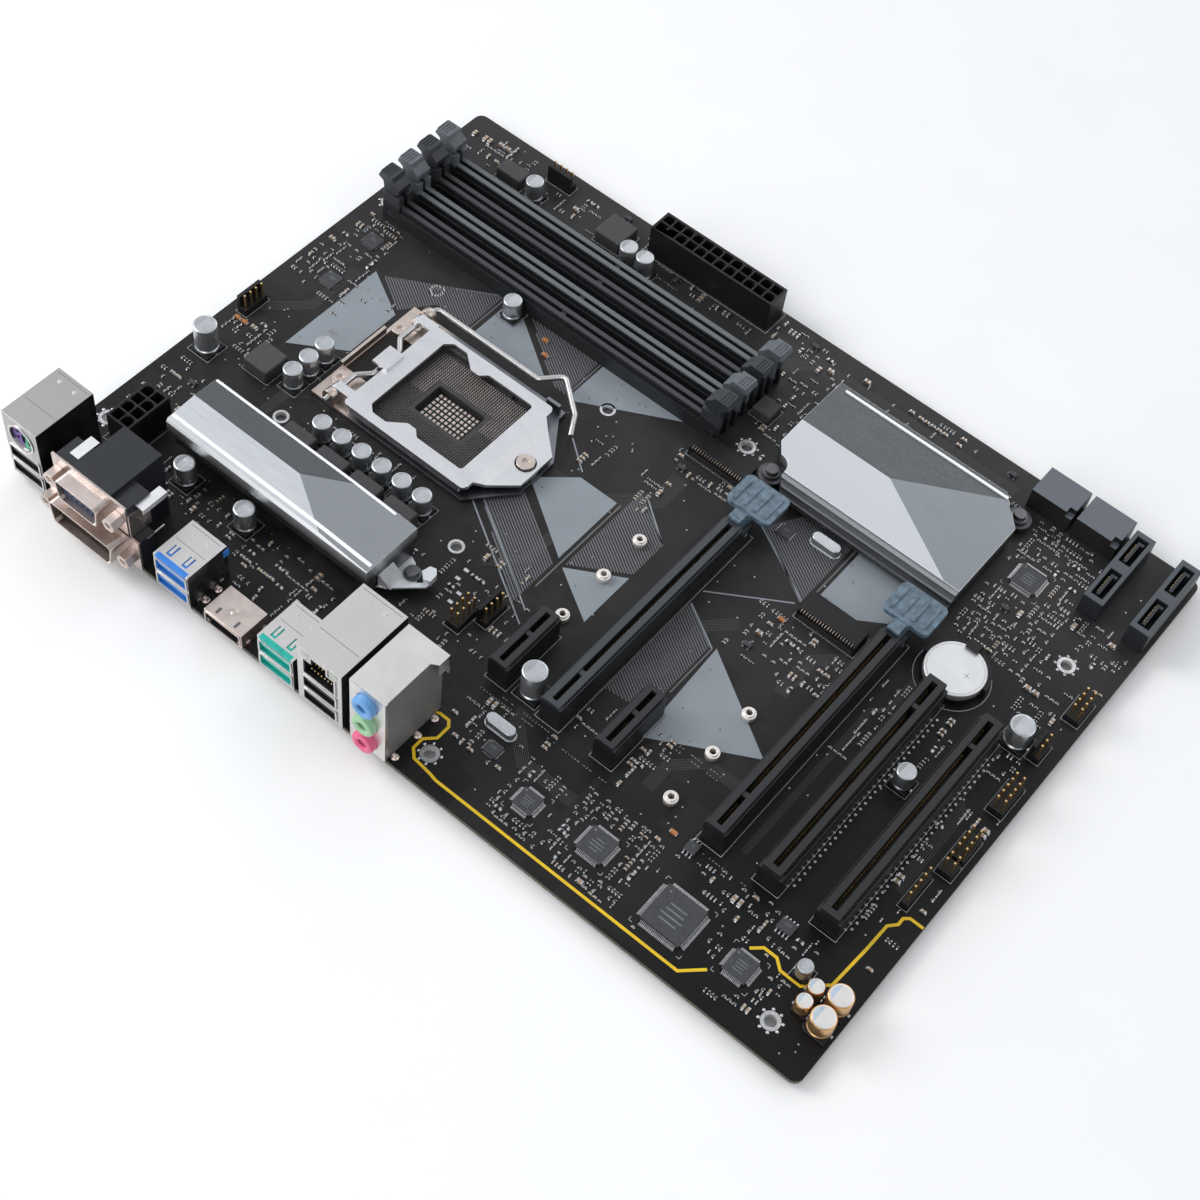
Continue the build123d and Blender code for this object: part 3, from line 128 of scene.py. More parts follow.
# ======== Materials ========
class Shader:
    """One procedural material on a Principled surface, in metres of the row frame."""

    def __init__(self, name, rough=0.5, metal=0.0, **sockets):
        self.material = bpy.data.materials.new(name)
        self.material.use_nodes = True
        self.nodes = self.material.node_tree.nodes
        self.links = self.material.node_tree.links
        self.surface = self.nodes["Principled BSDF"]
        self.surface.inputs["Roughness"].default_value = rough
        self.surface.inputs["Metallic"].default_value = metal
        for socket, value in sockets.items():
            self.surface.inputs[socket.replace("_", " ")].default_value = value
        self.place = self.nodes.new("ShaderNodeTexCoord").outputs["Object"]

    def node(self, kind, inputs=None, **settings):
        made = self.nodes.new(kind)
        for key, value in settings.items():
            setattr(made, key, value)
        for key, value in (inputs or {}).items():
            if isinstance(value, bpy.types.NodeSocket):
                self.links.new(value, made.inputs[key])
            else:
                made.inputs[key].default_value = value
        return made

    def axes(self):
        """Where the point is, as sockets X, Y and Z."""
        return self.node("ShaderNodeSeparateXYZ", {0: self.place}).outputs

    def facing(self):
        """Which way the flat face looks, as sockets X, Y and Z."""
        normal = self.node("ShaderNodeNewGeometry").outputs["True Normal"]
        return self.node("ShaderNodeSeparateXYZ", {0: normal}).outputs

    def noise(self, scale, detail=3.0, stretch=None):
        where = self.place
        if stretch:
            where = self.node("ShaderNodeMapping", {"Vector": where, "Scale": stretch}).outputs[0]
        inputs = {"Vector": where, "Scale": scale, "Detail": detail}
        return self.node("ShaderNodeTexNoise", inputs).outputs["Fac"]

    def ramp(self, value, low, high, to_low=0.0, to_high=1.0):
        inputs = {"Value": value, "From Min": low, "From Max": high, "To Min": to_low, "To Max": to_high}
        return self.node("ShaderNodeMapRange", inputs).outputs[0]

    def mix(self, fac, first, second):
        made = self.node("ShaderNodeMix", data_type="RGBA")
        for socket, value in ((made.inputs[0], fac), (made.inputs[6], first), (made.inputs[7], second)):
            if isinstance(value, bpy.types.NodeSocket):
                self.links.new(value, socket)
            elif isinstance(value, tuple):
                socket.default_value = (*value[:3], 1.0)
            else:
                socket.default_value = value
        return made.outputs[2]

    def math(self, operation, first, second=0.0):
        return self.node("ShaderNodeMath", {0: first, 1: second}, operation=operation).outputs[0]

    def over(self, value, limit):
        return self.math("GREATER_THAN", value, limit)

    def both(self, first, second):
        return self.math("MULTIPLY", first, second)

    def color(self, value):
        self.links.new(value, self.surface.inputs["Base Color"])

    def mottle(self, tone, fleck, scale, share, detail=3.0):
        """Colours the surface, with soft flecks of a second colour."""
        self.color(self.mix(self.ramp(self.noise(scale, detail), 0.3, 0.7, 0.0, share), tone, fleck))

    def gloss(self, value, smooth, matt):
        self.links.new(self.ramp(value, 0.3, 0.7, smooth, matt), self.surface.inputs["Roughness"])

    def bump(self, height, strength=0.3, distance=0.00005):
        made = self.node("ShaderNodeBump", {"Height": height, "Strength": strength, "Distance": distance})
        self.links.new(made.outputs[0], self.surface.inputs["Normal"])


def finish(
    name, base, rough, metal=0.0, spread=0.15, scale=300.0, grain=4000.0, bump=0.2, stretch=None, **sockets
):
    """A material with mottled colour, uneven gloss and a fine surface texture."""
    made = Shader(name, rough, metal, **sockets)
    cloud = made.ramp(made.noise(scale, 4.0, stretch), 0.3, 0.7)
    dark = tuple(channel * (1 - spread) for channel in base)
    light = tuple(min(1.0, channel * (1 + spread)) for channel in base)
    made.color(made.mix(cloud, dark, light))
    fine = made.noise(grain, 2.0, stretch)
    made.gloss(fine, max(0.03, rough * 0.8), min(1.0, rough * 1.25))
    made.bump(fine, bump)
    return made.material


def plastic(name, base, rough=0.42, spread=0.15, **sockets):
    return finish(name, base, rough, spread=spread, scale=500.0, grain=6000.0, **sockets)


def board_laminate():
    """Near-black solder mask over faint copper, with bare glass fibre on the cut edges."""
    made = Shader("board_laminate", 0.4, 0.0, Specular_IOR_Level=0.24)
    # Painted light: the mask is darker towards the rear edge and lighter towards the front, and painted shade
    # darkens it further round the last slots.
    along, across, _ = made.axes()
    painted_light_toward_front = made.ramp(across, BOARD_LOW.y, BOARD_HIGH.y)
    mask = made.mix(painted_light_toward_front, (0.0045, 0.0040, 0.0041), (0.0260, 0.0240, 0.0250))
    mask = made.mix(made.ramp(made.noise(60.0), 0.35, 0.65, 0.0, 0.16), mask, (0.040, 0.037, 0.038))
    # Copper under the mask shows as slightly lighter fills with fine gaps between them.
    cells = made.node("ShaderNodeTexVoronoi", {"Vector": made.place, "Scale": 70.0}, distance="CHEBYCHEV")
    mask = made.mix(made.ramp(cells.outputs["Distance"], 0.42, 0.44, 0.0, 0.14), mask, (0.045, 0.041, 0.041))
    # Painted shade: the mask darkens past x 232 towards the rear, round the last slots.
    near_end = made.ramp(along, row_x(232), row_x(256))
    near_rear = made.ramp(across, row_y(175), row_y(125), 0.0, 0.85)
    mask = made.mix(made.both(near_end, near_rear), mask, (0.0022, 0.0021, 0.0022))
    flat = made.over(made.math("ABSOLUTE", made.facing()["Z"]), 0.5)
    fibre = made.mix(made.noise(900.0), (0.055, 0.045, 0.028), (0.10, 0.085, 0.055))
    made.color(made.mix(flat, fibre, mask))
    made.gloss(made.noise(220.0), 0.34, 0.46)
    weave = []
    for way in "XY":
        wave = made.node("ShaderNodeTexWave", {"Vector": made.place, "Scale": 900.0}, bands_direction=way)
        weave.append(wave.outputs["Fac"])
    made.bump(made.math("ADD", *weave), 0.06, 0.00002)
    return made.material


def faceted(name, crest, front, rear, end, side):
    """Blasted, anodised aluminium: three top facets of different tones; above crest mm the sloped edges carry
    a near-white painted highlight, and painted shade darkens the walls below it.
    """
    made = Shader(name, 0.36, 0.85)
    along, across, up = made.facing()
    tone = made.mix(made.over(across, 0.02), rear, front)
    tone = made.mix(made.over(along, 0.015), tone, end)
    height = made.axes()["Z"]
    on_top = made.both(made.over(up, 0.3), made.over(height, row_z(crest)))
    # The mask cut picks the sloped edge faces above the crest for a near-white painted highlight.
    cut = made.both(on_top, made.math("LESS_THAN", up, 0.95))
    # Painted shade and light on the walls: near-black low down, the side tone near the crest.
    wall = made.mix(made.ramp(height, row_z(crest - 3.5), row_z(crest + 1.5)), (0.03, 0.03, 0.033), side)
    tone = made.mix(cut, made.mix(on_top, wall, tone), (0.95, 0.96, 0.97))
    made.links.new(made.ramp(cut, 0.0, 1.0, 0.85, 0.25), made.surface.inputs["Metallic"])
    fine = made.noise(9000.0, 2.0)
    made.color(made.mix(made.ramp(fine, 0.35, 0.65, 0.0, 0.16), tone, (0.9, 0.92, 0.95)))
    made.gloss(made.noise(1500.0, 3.0, (0.06, 1.0, 1.0)), 0.3, 0.44)
    made.bump(fine, 0.25, 0.00003)
    return made.material


def by_height(name, levels, rough=0.42):
    """Plastic in a different colour up to each height: (top in board mm, colour) pairs; the jacks' bands are
    their own colours, the slots' lighter tops are painted highlight.
    """
    made = Shader(name, rough)
    height = made.axes()["Z"]
    tone = levels[-1][1]
    for top, colour in reversed(levels[:-1]):
        tone = made.mix(made.over(height, row_z(top)), colour, tone)
    made.mottle(tone, (0.02, 0.02, 0.02), 500.0, 0.12)
    made.bump(made.noise(5000.0), 0.1)
    return made.material


def data_ports():
    """Black data ports with painted light: the flat ports' tops lighter and their other faces darker, the
    upright pairs dark with painted shade below rims lightened by painted highlight.
    """
    made = Shader("sata_plastic", 0.42)
    along, _, height = made.axes()
    # Painted shade on the upright ports below their rims, painted highlight on the rims.
    upright = made.mix(made.over(height, row_z(9.1)), (0.016, 0.018, 0.022), (0.060, 0.072, 0.085))
    # Painted light on the flat ports: lighter tops, darker other faces.
    level = made.mix(made.over(made.facing()["Z"], 0.5), (0.014, 0.012, 0.011), (0.110, 0.122, 0.148))
    tone = made.mix(made.math("LESS_THAN", along, row_x(278.6)), upright, level)
    made.mottle(tone, (0.02, 0.02, 0.02), 600.0, 0.1)
    made.bump(made.noise(5000.0), 0.1)
    return made.material


def pressed_frame():
    """Nickelled steel: warm at the hinge end, dark and blue-grey where the load plate shades it."""
    made = Shader("frame_nickel", 0.34, 1.0)
    along, across, _ = made.axes()
    far = made.ramp(along, row_x(60), row_x(66))
    warm = made.mix(far, (0.66, 0.56, 0.50), (0.20, 0.215, 0.24))
    warm = made.mix(made.ramp(made.noise(200.0), 0.3, 0.7, 0.0, 0.25), warm, (0.4, 0.38, 0.37))
    # The well between the two hinge ears is painted near-black: it stands for the openings there, with the
    # shade and the dark plastic inside them.
    well = made.both(made.over(along, row_x(47.5)), made.math("LESS_THAN", along, row_x(61)))
    well = made.both(well, made.over(across, row_y(99)))
    well = made.both(well, made.math("LESS_THAN", across, row_y(121)))
    made.color(made.mix(well, warm, (0.035, 0.032, 0.031)))
    fine = made.noise(2500.0)
    made.gloss(fine, 0.28, 0.42)
    made.bump(fine, 0.12)
    return made.material


def port_metal(name, bright, dark, rough=0.36):
    """Tinned steel, with painted shade on the sides that face the slots."""
    made = Shader(name, rough, 1.0)
    # Faces that look towards +x, towards the slots, take the dark tone as painted shade.
    tone = made.mix(made.over(made.facing()["X"], 0.8), bright, dark)
    made.mottle(tone, (0.45, 0.44, 0.43), 140.0, 0.18, 4.0)
    fine = made.noise(2500.0)
    made.gloss(fine, rough * 0.8, rough * 1.25)
    made.bump(fine, 0.12)
    return made.material


def keyboard_insert():
    """Half purple and half green, with the black data port tongues below."""
    made = Shader("purple_green_plastic", 0.42)
    x0, x1, _, _, _, _ = extent("keyboard_port_inserts")
    along, _, height = made.axes()
    tone = made.mix(made.over(along, row_x((x0 + x1) / 2)), (0.17, 0.08, 0.33), (0.02, 0.36, 0.2))
    tone = made.mix(made.over(height, row_z(15)), (0.012, 0.012, 0.013), tone)
    made.mottle(tone, (0.3, 0.3, 0.3), 700.0, 0.15)
    made.bump(made.noise(5000.0), 0.1)
    return made.material


BOARD = board_laminate()
VRM_METAL = faceted(
    "vrm_aluminium", 14.5, (0.054, 0.063, 0.068), (0.63, 0.65, 0.68), (0.26, 0.28, 0.30),
    (0.70, 0.71, 0.73))
CHIPSET_METAL = faceted(
    "chipset_aluminium", 7.9,
    (0.041, 0.048, 0.051), (0.62, 0.64, 0.67), (0.21, 0.23, 0.25), (0.34, 0.35, 0.37))
EAR_METAL = finish("ear_aluminium", (0.80, 0.82, 0.85), 0.4, 0.6, spread=0.06, scale=200.0, grain=5000.0)
# Near-white for the strips along the heatsinks' edges: a painted highlight.
EDGE_HIGHLIGHT = finish("painted_edge_highlight", (0.94, 0.95, 0.96), 0.45, 0.2, spread=0.04)

BLACK = plastic("black_plastic", (0.0065, 0.0065, 0.0075), 0.45, 0.25, Specular_IOR_Level=0.35)
SLATE = plastic("dark_grey_plastic", (0.026, 0.029, 0.035), 0.4)
GREY = plastic("grey_plastic", (0.105, 0.120, 0.135))
VIDEO_BLACK = plastic("video_plastic", (0.011, 0.013, 0.018))
HOUSING_GREY = plastic("housing_plastic", (0.17, 0.17, 0.174), 0.45, 0.1)
SOCKET = finish("socket_plastic", (0.030, 0.029, 0.030), 0.5, spread=0.2, scale=400.0, grain=5000.0)
SMOKE = finish(
    "smoke_plastic", (0.21, 0.30, 0.38), 0.2, spread=0.4, scale=500.0, grain=1500.0, bump=0.06,
    Transmission_Weight=0.5, IOR=1.49)
BLUE = finish("blue_plastic", (0.03, 0.20, 0.62), 0.4, scale=500.0)
TEAL = finish("teal_plastic", (0.01, 0.40, 0.33), 0.4, scale=500.0)
# Near-black for holes, bores and the backs of mouths: painted shade.
PAINTED_SHADE = finish("deep_shade", (0.003, 0.003, 0.004), 0.8, spread=0.3, scale=600.0, Specular_IOR_Level=0.1)
SIGNAL = finish("signal_lens", (0.42, 0.46, 0.40), 0.3, spread=0.1, scale=600.0)

STEEL = finish(
    "spring_steel", (0.60, 0.59, 0.585), 0.3, 1.0, spread=0.1, scale=200.0, grain=2500.0, bump=0.08)
PLATE = finish(
    "plate_nickel", (0.72, 0.72, 0.74), 0.33, 1.0, spread=0.06, scale=150.0, grain=3000.0, bump=0.1,
    stretch=(0.3, 1.0, 1.0))
WARM_STEEL = finish("frame_nickel", (0.66, 0.57, 0.52), 0.34, 1.0, spread=0.12, scale=200.0, bump=0.1)
DARK_STEEL = finish("dark_steel", (0.16, 0.16, 0.165), 0.4, 1.0, spread=0.2, scale=200.0, bump=0.15)
# Each steel's second tone is painted shade on its +x sides.
PORT_STEEL = port_metal("port_steel", (0.69, 0.672, 0.66), (0.10, 0.10, 0.105))
KEYBOARD_STEEL = port_metal("keyboard_steel", (0.47, 0.46, 0.455), (0.045, 0.045, 0.048))
PINK_STEEL = finish("tinned_shell", (0.66, 0.57, 0.53), 0.32, 1.0, spread=0.12, scale=200.0, bump=0.12)
STRAP = finish("strap_steel", (0.82, 0.82, 0.83), 0.4, 0.9, spread=0.06, scale=200.0)
COVER_STEEL = finish(
    "cover_steel", (0.76, 0.745, 0.73), 0.36, 1.0, spread=0.06, scale=150.0, grain=2500.0, bump=0.1)
CARD_SPRING = finish("card_spring", (0.30, 0.25, 0.22), 0.4, 0.8, spread=0.3)
STANDOFF = finish("standoff_nickel", (0.86, 0.82, 0.78), 0.36, 0.8, spread=0.06)
CELL = finish("cell_steel", (0.74, 0.74, 0.74), 0.36, 0.85, spread=0.05, scale=150.0, grain=3000.0, bump=0.1)

CAN = finish("can_aluminium", (0.55, 0.57, 0.59), 0.3, 0.9, spread=0.08, grain=5000.0)
GOLD_CAN = finish("gold_can", (0.70, 0.43, 0.21), 0.3, 0.9, spread=0.1, grain=5000.0)
PALE_CROWN = finish("pale_crown", (0.80, 0.78, 0.76), 0.35, 0.7, spread=0.06)
GREY_PRINT = finish("grey_print", (0.34, 0.35, 0.37), 0.5)
GOLD_PRINT = finish("gold_print", (0.42, 0.50, 0.60), 0.5)
GOLD = finish("contact_gold", (0.80, 0.55, 0.25), 0.28, 1.0, spread=0.12, scale=900.0, bump=0.05)
CONTACT_TIP = finish("contact_tip", (0.36, 0.31, 0.29), 0.4, 1.0, spread=0.2, scale=200.0)
CONTACT_WELL = finish("contact_well", (0.018, 0.017, 0.018), 0.6)
SOLDER = finish("solder", (0.62, 0.62, 0.63), 0.28, 1.0, spread=0.18, scale=900.0, grain=3500.0, bump=0.3)
# The barrels' own tin, lightened and made partly diffuse as painted light for the brightness seen through the
# holes.
BARREL_TIN_AND_PAINTED_LIGHT = finish("barrel_tin_and_painted_light", (0.85, 0.84, 0.83), 0.35, 0.7, spread=0.08, scale=900.0)
TINNED_FOOT = finish("tinned_foot", (0.80, 0.68, 0.63), 0.4, 0.9, spread=0.1, scale=400.0)

EPOXY = finish("chip_epoxy", (0.040, 0.042, 0.046), 0.5, spread=0.2, scale=800.0, grain=9000.0, bump=0.35)
LASER_MARK = finish("laser_mark", (0.15, 0.155, 0.16), 0.6)
POWDER = finish(
    "choke_powder", (0.050, 0.048, 0.052), 0.62, spread=0.25, scale=1500.0, grain=7000.0, bump=0.5)
PAD = finish("pad_silicone", (0.24, 0.27, 0.30), 0.7, scale=400.0)
SILICON = finish("silicon_package", (0.05, 0.09, 0.06), 0.4, scale=400.0)
CERAMIC = finish("ceramic", (0.30, 0.22, 0.15), 0.5, spread=0.3, scale=120.0, grain=5000.0)
WELL_CERAMIC = finish("well_ceramic", (0.50, 0.37, 0.30), 0.45, spread=0.25, scale=150.0)
RESISTOR = finish("resistor_glaze", (0.016, 0.016, 0.018), 0.3, spread=0.3)
ORANGE = finish("orange_moulding", (0.42, 0.16, 0.05), 0.45, spread=0.2, scale=400.0)
VGA_FACE = finish("vga_insert", (0.055, 0.064, 0.10), 0.6, spread=0.1, scale=500.0, Specular_IOR_Level=0.12)
# The lower (DVI) insert is dark brown: painted shade, not the insert's own colour.
DVI_FACE = finish("dvi_insert", (0.022, 0.014, 0.011), 0.6, scale=500.0, Specular_IOR_Level=0.08)

WHITE_INK = finish("white_ink", (0.40, 0.41, 0.42), 0.6, spread=0.12, scale=900.0, grain=3000.0)
LIGHT_INK = finish("light_ink", (0.235, 0.262, 0.292), 0.55, spread=0.05, scale=90.0, grain=5000.0, bump=0.15)
GREY_INK = finish("grey_ink", (0.125, 0.128, 0.136), 0.55, spread=0.08, scale=90.0, grain=5000.0, bump=0.15)
YELLOW_INK = finish("yellow_ink", (0.72, 0.47, 0.006), 0.5, spread=0.08, grain=5000.0, bump=0.15)
TRACE = finish("masked_copper", (0.040, 0.036, 0.035), 0.4, spread=0.12)

# On the slots the plastic is lighter above a height: painted highlight on the top lands over painted shade on
# the sides; the grey and the dark memory slots differ in their own colour.
SLOT_BODY, BLACK_BODY, TOP = (0.013, 0.014, 0.016), (0.006, 0.006, 0.007), 40
GREY_MEMORY = by_height("grey_memory_plastic", [(8.0, SLOT_BODY), (TOP, (0.115, 0.128, 0.140))])
DARK_MEMORY = by_height("dark_memory_plastic", [(8.0, SLOT_BODY), (TOP, (0.032, 0.034, 0.038))])
GREY_SLOT = by_height("grey_slot_plastic", [(9.8, (0.010, 0.011, 0.013)), (TOP, (0.042, 0.048, 0.055))])
BLACK_SLOT = by_height("black_slot_plastic", [(9.8, BLACK_BODY), (TOP, (0.015, 0.016, 0.018))])
PCI_SLOT = by_height("pci_slot_plastic", [(8.4, BLACK_BODY), (TOP, (0.010, 0.011, 0.012))])
RIB_TONE = finish("slot_rib_plastic", SLOT_BODY, 0.42, scale=500.0)
JACKS = by_height(
    "jack_plastic", [(10.6, (0.80, 0.13, 0.27)), (20.2, (0.34, 0.58, 0.34)), (TOP, (0.14, 0.36, 0.70))],
    0.4)

MATERIALS = {
    "circuit_board": BOARD, "vrm_heatsink": VRM_METAL, "chipset_heatsink": CHIPSET_METAL,
    "heatsink_pins": DARK_STEEL, "mosfets": EPOXY, "chipset": SILICON, "thermal_pads": PAD,
    "cpu_socket": SOCKET,
    "socket_contacts": GOLD, "socket_frame": pressed_frame(), "socket_screws": WARM_STEEL,
    "socket_backplate": DARK_STEEL, "socket_lever": STEEL, "load_plate": PLATE,
    "main_power_connector": BLACK,
    "cpu_power_connector": BLACK, "pin_headers": BLACK, "terminal_pins": GOLD, "graphics_slot": GREY_SLOT,
    "graphics_slot_retainer": SMOKE, "expansion_slot": BLACK_SLOT, "expansion_slot_retainer": SMOKE,
    "x1_slots": BLACK_SLOT, "pci_slots": PCI_SLOT, "m2_connectors": BLACK, "m2_standoffs": STANDOFF,
    "sata_ports": data_ports(), "keyboard_port_shell": KEYBOARD_STEEL,
    "keyboard_port_inserts": keyboard_insert(),
    "video_housing": VIDEO_BLACK, "video_port_shells": PINK_STEEL, "video_jackscrews": PINK_STEEL,
    "usb_blue_shell": PORT_STEEL, "usb_blue_tongues": BLUE, "usb_teal_shell": PORT_STEEL,
    "usb_teal_tongues": TEAL,
    "hdmi_port": PINK_STEEL, "lan_port_shell": PORT_STEEL, "audio_housing": HOUSING_GREY,
    "audio_jacks": JACKS,
    "polymer_capacitors": CAN, "audio_capacitors": GOLD_CAN, "chokes": POWDER, "controller_chips": EPOXY,
    "crystals": CAN, "coin_cell": CELL, "battery_holder": BLACK, "solder_tails": SOLDER,
}
LATCH_TONE = {1: SLATE, 2: GREY, 3: SLATE, 4: GREY}
for number, tone in LATCH_TONE.items():
    MATERIALS[f"memory_slot_{number}"] = DARK_MEMORY if tone is SLATE else GREY_MEMORY
    for end in ("left", "right"):
        MATERIALS[f"memory_latch_{number}_{end}"] = tone
EDGE_ROUNDS = {
    "load_plate": 0.25, "socket_frame": 0.3, "vrm_heatsink": 0.25, "chipset_heatsink": 0.3,
    "audio_housing": 0.4}
PLAIN_EDGE, CONNECTOR_EDGE = 0.12, 0.25
UNROUNDED_NODES = {"circuit_board", "socket_contacts", "solder_tails", "terminal_pins", "thermal_pads"}


def edge_round(node):
    """How far a node's edges are rounded, in mm."""
    is_connector = node.endswith(("_shell", "_port")) or "connector" in node or "slot" in node
    return CONNECTOR_EDGE if is_connector else EDGE_ROUNDS.get(node, PLAIN_EDGE)


def dress(node, material):
    """Gives a CAD node its material and small rounds on its edges, without changing its mesh."""
    obj = NODES[node]
    obj.data.materials.clear()
    obj.data.materials.append(material)
    if node in UNROUNDED_NODES:
        return
    merge = obj.modifiers.new("merge", "WELD")
    merge.merge_threshold = 1e-6
    flatten = obj.modifiers.new("flatten", "DECIMATE")
    flatten.decimate_type = "DISSOLVE"
    flatten.angle_limit = math.radians(0.5)
    rounds = obj.modifiers.new("rounds", "BEVEL")
    rounds.width = edge_round(node) * MM
    rounds.segments = 2
    rounds.limit_method = "ANGLE"
    rounds.angle_limit = math.radians(32)
    rounds.harden_normals = True


for name, material in MATERIALS.items():
    dress(name, material)

# ======== Mesh building ========
def circle(x, y, radius, sides=32, start=0.0):
    """Points round a circle, as (x, y) or as (x, z) pairs."""
    turns = [start + 2 * math.pi * step / sides for step in range(sides)]
    return [(x + radius * math.cos(turn), y + radius * math.sin(turn)) for turn in turns]


def rectangle(x0, x1, y0, y1):
    return [(x0, y0), (x1, y0), (x1, y1), (x0, y1)]


def turned_ring(at, radius, height, sides, axis):
    """One ring of a turned shape, whose axis points up (z) or to the rear (y)."""
    x, y, z = at
    if axis == "z":
        return [(u, v, z + height) for u, v in circle(x, y, radius, sides)]
    return [(u, y - height, v) for u, v in circle(x, z, radius, sides)]


class Piece:
    """Collects the faces of one mesh in board millimetres and makes the object at the end."""

    def __init__(self, name, slot, *materials, body="board"):
        self.name, self.slot, self.materials, self.body = name, slot, materials, body
        self.points, self.faces, self.tones = [], [], []

    def add(self, points, faces, tone=0):
        base = len(self.points)
        self.points += points
        self.faces += [tuple(base + corner for corner in face) for face in faces]
        self.tones += [tone] * len(faces)

    def loops(self, loops, tone=0, closed=False):
        """A skin over loops of points, with flat ends or joined end to end."""
        count = len(loops[0])
        faces = []
        for level in range(len(loops) - (not closed)):
            low, high = level * count, (level + 1) % len(loops) * count
            for corner in range(count):
                after = (corner + 1) % count
                faces.append((low + corner, low + after, high + after, high + corner))
        if not closed:
            top = (len(loops) - 1) * count
            faces.append(tuple(reversed(range(count))))
            faces.append(tuple(range(top, top + count)))
        self.add([point for loop in loops for point in loop], faces, tone)

    def chip(self, x, y, z, wide, deep, high, tone=0, edge=0.0, angle=0.0):
        """A box that stands at z on its middle, turned by angle degrees, its top edges cut back by edge."""
        cos, sin = math.cos(math.radians(angle)), math.sin(math.radians(angle))
        loops = []
        for inset, level in [(0, z), (0, z + high - edge)] + [(edge, z + high)] * (edge > 0):
            corners = rectangle(inset - wide / 2, wide / 2 - inset, inset - deep / 2, deep / 2 - inset)
            loops.append([(x + u * cos - v * sin, y + u * sin + v * cos, level) for u, v in corners])
        self.loops(loops, tone)

    def block(self, x0, x1, y0, y1, z0, z1, tone=0, edge=0.0):
        """A box between two corners."""
        self.chip((x0 + x1) / 2, (y0 + y1) / 2, z0, x1 - x0, y1 - y0, z1 - z0, tone, edge)

    def sheet(self, outline, z=0.0, tone=0, thick=INK):
        """A flat patch with the given outline."""
        self.loops([[(x, y, level) for x, y in outline] for level in (z, z + thick)], tone)

    def upright(self, outline, y0, y1, tone=0):
        """A slab that stands between two places along y, with the given (x, z) outline."""
        self.loops([[(x, y, z) for x, z in outline] for y in (y0, y1)], tone)

    def collar(self, inner, outer, y0, y1, tone=0):
        """An upright ring between two (x, z) outlines, from y0 at the rear to y1."""
        steps = ((inner, y0), (outer, y0), (outer, y1), (inner, y1))
        self.loops([[(x, y, z) for x, z in outline] for outline, y in steps], tone, closed=True)

    def band(self, path, width, z=0.0, tone=0, thick=INK, closed=False):
        """A flat strip along a path, mitred at its corners."""
        loops = []
        for index, (x, y) in enumerate(path):
            before = path[index - 1] if index or closed else None
            after = path[(index + 1) % len(path)] if index < len(path) - 1 or closed else None
            normals = []
            for a, b in ((before, (x, y)), ((x, y), after)):
                if a and b:
                    dx, dy = b[0] - a[0], b[1] - a[1]
                    length = math.hypot(dx, dy) or 1.0
                    normals.append((-dy / length, dx / length))
            nx, ny = (sum(values) / len(normals) for values in zip(*normals))
            square = max(nx * nx + ny * ny, 0.3)
            nx, ny = nx / square * width / 2, ny / square * width / 2
            left, right = (x + nx, y + ny), (x - nx, y - ny)
            loops.append([(*left, z), (*left, z + thick), (*right, z + thick), (*right, z)])
        self.loops(loops, tone, closed)

    def turned(self, at, profile, tones=0, sides=24, axis="z"):
        """A turned shape along (radius, height) pairs, in one tone or a list with one for each step."""
        base = len(self.faces)
        self.loops([turned_ring(at, radius, height, sides, axis) for radius, height in profile])
        steps = [tones] * (len(profile) - 1) if isinstance(tones, int) else tones
        self.tones[base:] = [tone for tone in steps for _ in range(sides)] + [steps[0], steps[-1]]

    def hoop(self, at, profile, tone=0, sides=32, axis="z"):
        """A turned ring whose section is the closed outline of (radius, height) pairs."""
        rings = [turned_ring(at, radius, height, sides, axis) for radius, height in profile]
        self.loops(rings, tone, closed=True)

    def ring(self, x, y, inner, outer, z=0.0, thick=INK, tone=0, sides=32):
        """A flat washer."""
        self.hoop((x, y, z), [(inner, 0), (outer, 0), (outer, thick), (inner, thick)], tone, sides)

    def dome(self, x, y, z, radius, height, tone=0, sides=8):
        """A small mound of solder, hanging down where height is negative."""
        shares = ((1.0, 0.0), (0.78, 0.35), (0.34, 0.85), (0.2, 1.0))
        self.turned((x, y, z), [(radius * out, height * up) for out, up in shares], tone, sides)

    def make(self, *replaced, smooth=35):
        """Makes the object, with edges sharper than smooth degrees kept, or all flat where that is None."""
        mesh = bpy.data.meshes.new(self.name)
        mesh.from_pydata([to_row(point) for point in self.points], [], self.faces)
        for material in self.materials:
            mesh.materials.append(material)
        mesh.polygons.foreach_set("material_index", self.tones)
        work = bmesh.new()
        work.from_mesh(mesh)
        bmesh.ops.recalc_face_normals(work, faces=work.faces)
        work.to_mesh(mesh)
        work.free()
        mesh.update()
        if smooth:
            mesh.polygons.foreach_set("use_smooth", [True] * len(self.faces))
            mesh.set_sharp_from_angle(angle=math.radians(smooth))
        obj = bpy.data.objects.new(self.name, mesh)
        bpy.context.collection.objects.link(obj)
        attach(obj, self.body)
        if replaced:
            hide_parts(*replaced)


def span(start, stop, pitch):
    """Evenly pitched values that fit between two ends, centred."""
    count = int((stop - start) / pitch + 1e-6) + 1
    first = (start + stop - (count - 1) * pitch) / 2
    return [first + pitch * index for index in range(count)]


